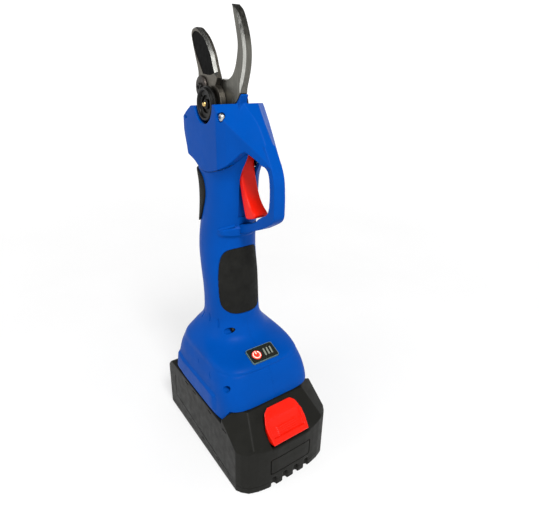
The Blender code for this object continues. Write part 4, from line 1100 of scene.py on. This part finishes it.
def make_moving_blade():
    outline = clockwise(flowing(MOVING_BLADE, (24, 25), 4))

    def bevels(y, z):
        above = step_up(z, BLADE_FOOT_Z - 0.5, BLADE_FOOT_Z + 2.5)
        front = 1 - step_up(y - 0.72 * (z - BLADE_FOOT_Z), 10.0, 17.0)
        near_tip = 1 - 0.55 * step_up(z, 276, 282)
        return 0.3 + above * (0.5 + 1.3 * front) * near_tip, 0.3 + above * (0.4 + 1.1 * front)

    blade = ground_plate("cutting_blade", outline, MOVING_LOW.x, MOVING_HIGH.x, bevels)
    cut(blade, slab(flowing(BLACK_COAT, (0, 13)), "X", MOVING_LOW.x - 1, MOVING_LOW.x + 0.28))
    cut(blade, rod(5.3, -20, 20, PIVOT, 48))
    cut(blade, rod(1.9, -20, 20, LOCK, 32))
    tidy(blade, 18)
    dress(blade, HUB_STEEL, BEVEL_STEEL, BLADE_BLACK)
    coat_x = (MOVING_LOW.x + 0.1) * MM
    for face in blade.data.polygons:
        normal, centre = face.normal, face.center
        high = centre.z > BLADE_FOOT_Z * MM
        if high and normal.x < -0.97 and centre.x > coat_x:
            face.material_index = 2
        elif high and -0.995 < normal.x < -0.3:
            face.material_index = 1
    place(blade, None, "blade", "dark_steel", "moving_blade")


NIPPLE_R = 1.7


NUT_PROFILE = (
    (5.15, -14.6), (7.3, -14.9), (7.7, -15.9), (8.0, -16.2), (8.9, -16.2), (9.3, -15.8), (9.4, -15.2),
    (9.4, -14.3), (9.9, -14.2), (10.2, -13.9), (10.2, -13.3), (6.2, -13.3), (6.2, -11.6), (5.15, -11.6))
BOLT_PROFILE = (
    (0, 9.8), (3.2, 9.8), (3.6, 11.1), (3.8, 11.2), (6.3, 11.2), (7.0, 10.8), (7.2, 10.3), (7.2, 6.6),
    (5.0, 6.6), (5.0, -13.6), (0, -13.6))
CAP_PROFILE = (
    (0, -13.9), (2.9, -13.9), (2.9, -14.7), (2.5, -15.1), (1.5, -15.4), (1.3, -16.2), (0.9, -16.6),
    (0, -16.7))
DISC_PROFILE = (
    (1.8, -12.75), (4.6, -12.9), (5.9, -12.85), (6.4, -12.6), (6.6, -12.2), (6.6, -11.6), (1.8, -11.6))
SCREW_PROFILE = (
    (0, -14.3), (2.1, -14.3), (2.5, -14.0), (2.6, -13.7), (2.6, -13.2), (1.6, -13.2), (1.6, -8.2),
    (0, -8.2))


def make_pivot():
    nut = lathe("dished_pivot_nut", NUT_PROFILE, "X", PIVOT, 96)
    cut(nut, *[rod(0.75, -20, -14.0, spot, 24) for spot in arc(PIVOT, 6.35, 45, 225, 1)])
    bolt = lathe("pivot_bolt_head", BOLT_PROFILE, "X", PIVOT, 96)
    cap = lathe("grease_nipple", CAP_PROFILE, "X", PIVOT, 48)
    disc = lathe("lock_disc", DISC_PROFILE, "X", LOCK, 72)
    screw = lathe("lock_disc_cap_screw", SCREW_PROFILE, "X", LOCK, 48)
    cut(screw, slab(arc(LOCK, 1.2, 0, 300, 5), "X", -20, -13.5))
    for obj, look, slot, node in ((nut, DARK_STEEL, "dark_steel", "pivot_nut"),
                                  (bolt, DARK_STEEL, "dark_steel", "pivot_bolt"),
                                  (cap, BRASS, "brass_and_copper", "grease_cap"),
                                  (disc, BROWN_STEEL, "dark_steel", "nut_lock_disc"),
                                  (screw, DARK_STEEL, "dark_steel", "lock_disc_screw")):
        place(tidy(obj, 35), look, "blade", slot, node)
    cap.data.materials.append(DARK_STEEL)
    for face in cap.data.polygons:
        away = math.hypot(face.center.y / MM - PIVOT[0], face.center.z / MM - PIVOT[1])
        face.material_index = 1 if away > NIPPLE_R else 0


# ---- pieces that keep the CAD's shape
def make_soft_copies():
    """CAD castings and blocks that can be seen, with their edges softened."""
    for node, name, look, body, slot in (
            ("gear_case", "gear_case_casting", ALUMINIUM, "tool", "cast_aluminium"),
            ("battery_contact_block", "contact_block_moulding", CHARCOAL, "battery_pack", "black_plastic"),
            ("tool_terminal_block", "terminal_block_moulding", CHARCOAL, "tool", "black_plastic")):
        obj = node_copy(node, name)
        if node == "gear_case":  # the screw pad is kept clear of the cover's slanting face
            cut(obj, block((-12.0, -8.0), (-6, -0.7), (236.3, 240)))
            cut(obj, block((-9.0, -8.0), (-6, -3.1), (230, 240)))
        moulded(obj, 0.3, 3, 0.25)
        place(tidy(obj, 45), look, body, slot, node)


def dress_cad_nodes():
    looks = {
        "battery_circuit_board": BOARD, "status_board": BOARD, "control_board": BOARD,
        "trigger_sensor_board": BOARD, "battery_cell_frame": NATURAL, "motor_can": DARK_STEEL,
        "motor_end_cap": ALUMINIUM, "motor_stator": COPPER, "thrust_washer": BRASS,
    }
    for number in range(1, 11):
        looks["battery_cell_%02d" % number] = SLEEVE
    for name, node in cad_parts.items():
        dress(node, looks.get(name, MACHINED))


# ---- studio and camera
CAMERA_AT = (-0.139343, -0.224796, 0.262244)
CAMERA_AZIMUTH = -35.386
CAMERA_ELEVATION = 24.102
CAMERA_ROLL = 1.115
CAMERA_LENS = 28.72
CAMERA_SHIFT = (0.00407, 0.0015)


def make_camera():
    a, e, r = (math.radians(v) for v in (CAMERA_AZIMUTH, CAMERA_ELEVATION, CAMERA_ROLL))
    back = Vector((math.sin(a) * math.cos(e), -math.cos(a) * math.cos(e), math.sin(e)))
    right = (-back).cross(Vector((0, 0, 1))).normalized()
    up = right.cross(-back)
    turned_right = right * math.cos(r) + up * math.sin(r)
    turned_up = -right * math.sin(r) + up * math.cos(r)
    data = bpy.data.cameras.new("camera")
    data.sensor_width = 36.0
    data.lens = CAMERA_LENS
    data.shift_x, data.shift_y = CAMERA_SHIFT
    data.clip_start = 0.01
    camera = link(bpy.data.objects.new("camera", data))
    turn = Matrix((turned_right, turned_up, back)).transposed().to_4x4()
    camera.matrix_world = Matrix.Translation(CAMERA_AT) @ turn
    bpy.context.scene.camera = camera


def soft_light(name, where, target, size, power):
    data = bpy.data.lights.new(name, "AREA")
    data.size = size
    data.energy = power
    lamp = link(bpy.data.objects.new(name, data))
    way = Vector(target) - Vector(where)
    lamp.matrix_world = Matrix.Translation(where) @ way.to_track_quat("-Z", "Y").to_matrix().to_4x4()


def make_studio():
    reach, wall = 3000, 2000
    profile = [(0, -0.2), (reach * 0.9, -0.2), (reach * 0.97, 40), (reach, 150), (reach, wall),
               (reach + 10, wall), (reach + 10, -20), (0, -20)]
    floor = lathe("floor", profile, "Z", (0, 0), 96)
    floor.data.shade_smooth()
    floor.data.set_sharp_from_angle(angle=math.radians(50))
    floor.data.materials.append(studio_floor("floor_look"))
    middle = (0, 0, 0.15)
    soft_light("key_light", (-0.15, -0.60, 1.00), middle, 0.34, 13.0)
    soft_light("fill_light", (-0.85, 0.10, 0.60), middle, 0.4, 2.0)
    world = bpy.data.worlds.new("studio_world")
    world.use_nodes = True
    background = world.node_tree.nodes["Background"]
    background.inputs["Color"].default_value = (1.0, 1.0, 1.0, 1.0)
    background.inputs["Strength"].default_value = 0.08
    bpy.context.scene.world = world
    bpy.context.scene.view_settings.view_transform = "Standard"


dress_cad_nodes()
make_battery_case()
make_latch()
make_handle()
make_slot_liner()
make_pad("rear_pad", True, "rear_grip_pad")
make_pad("front_pad", False, "front_grip_pad")
make_panel()
make_head_cover()
make_trigger()
make_fixed_blade()
make_moving_blade()
make_pivot()
make_soft_copies()
make_camera()
make_studio()
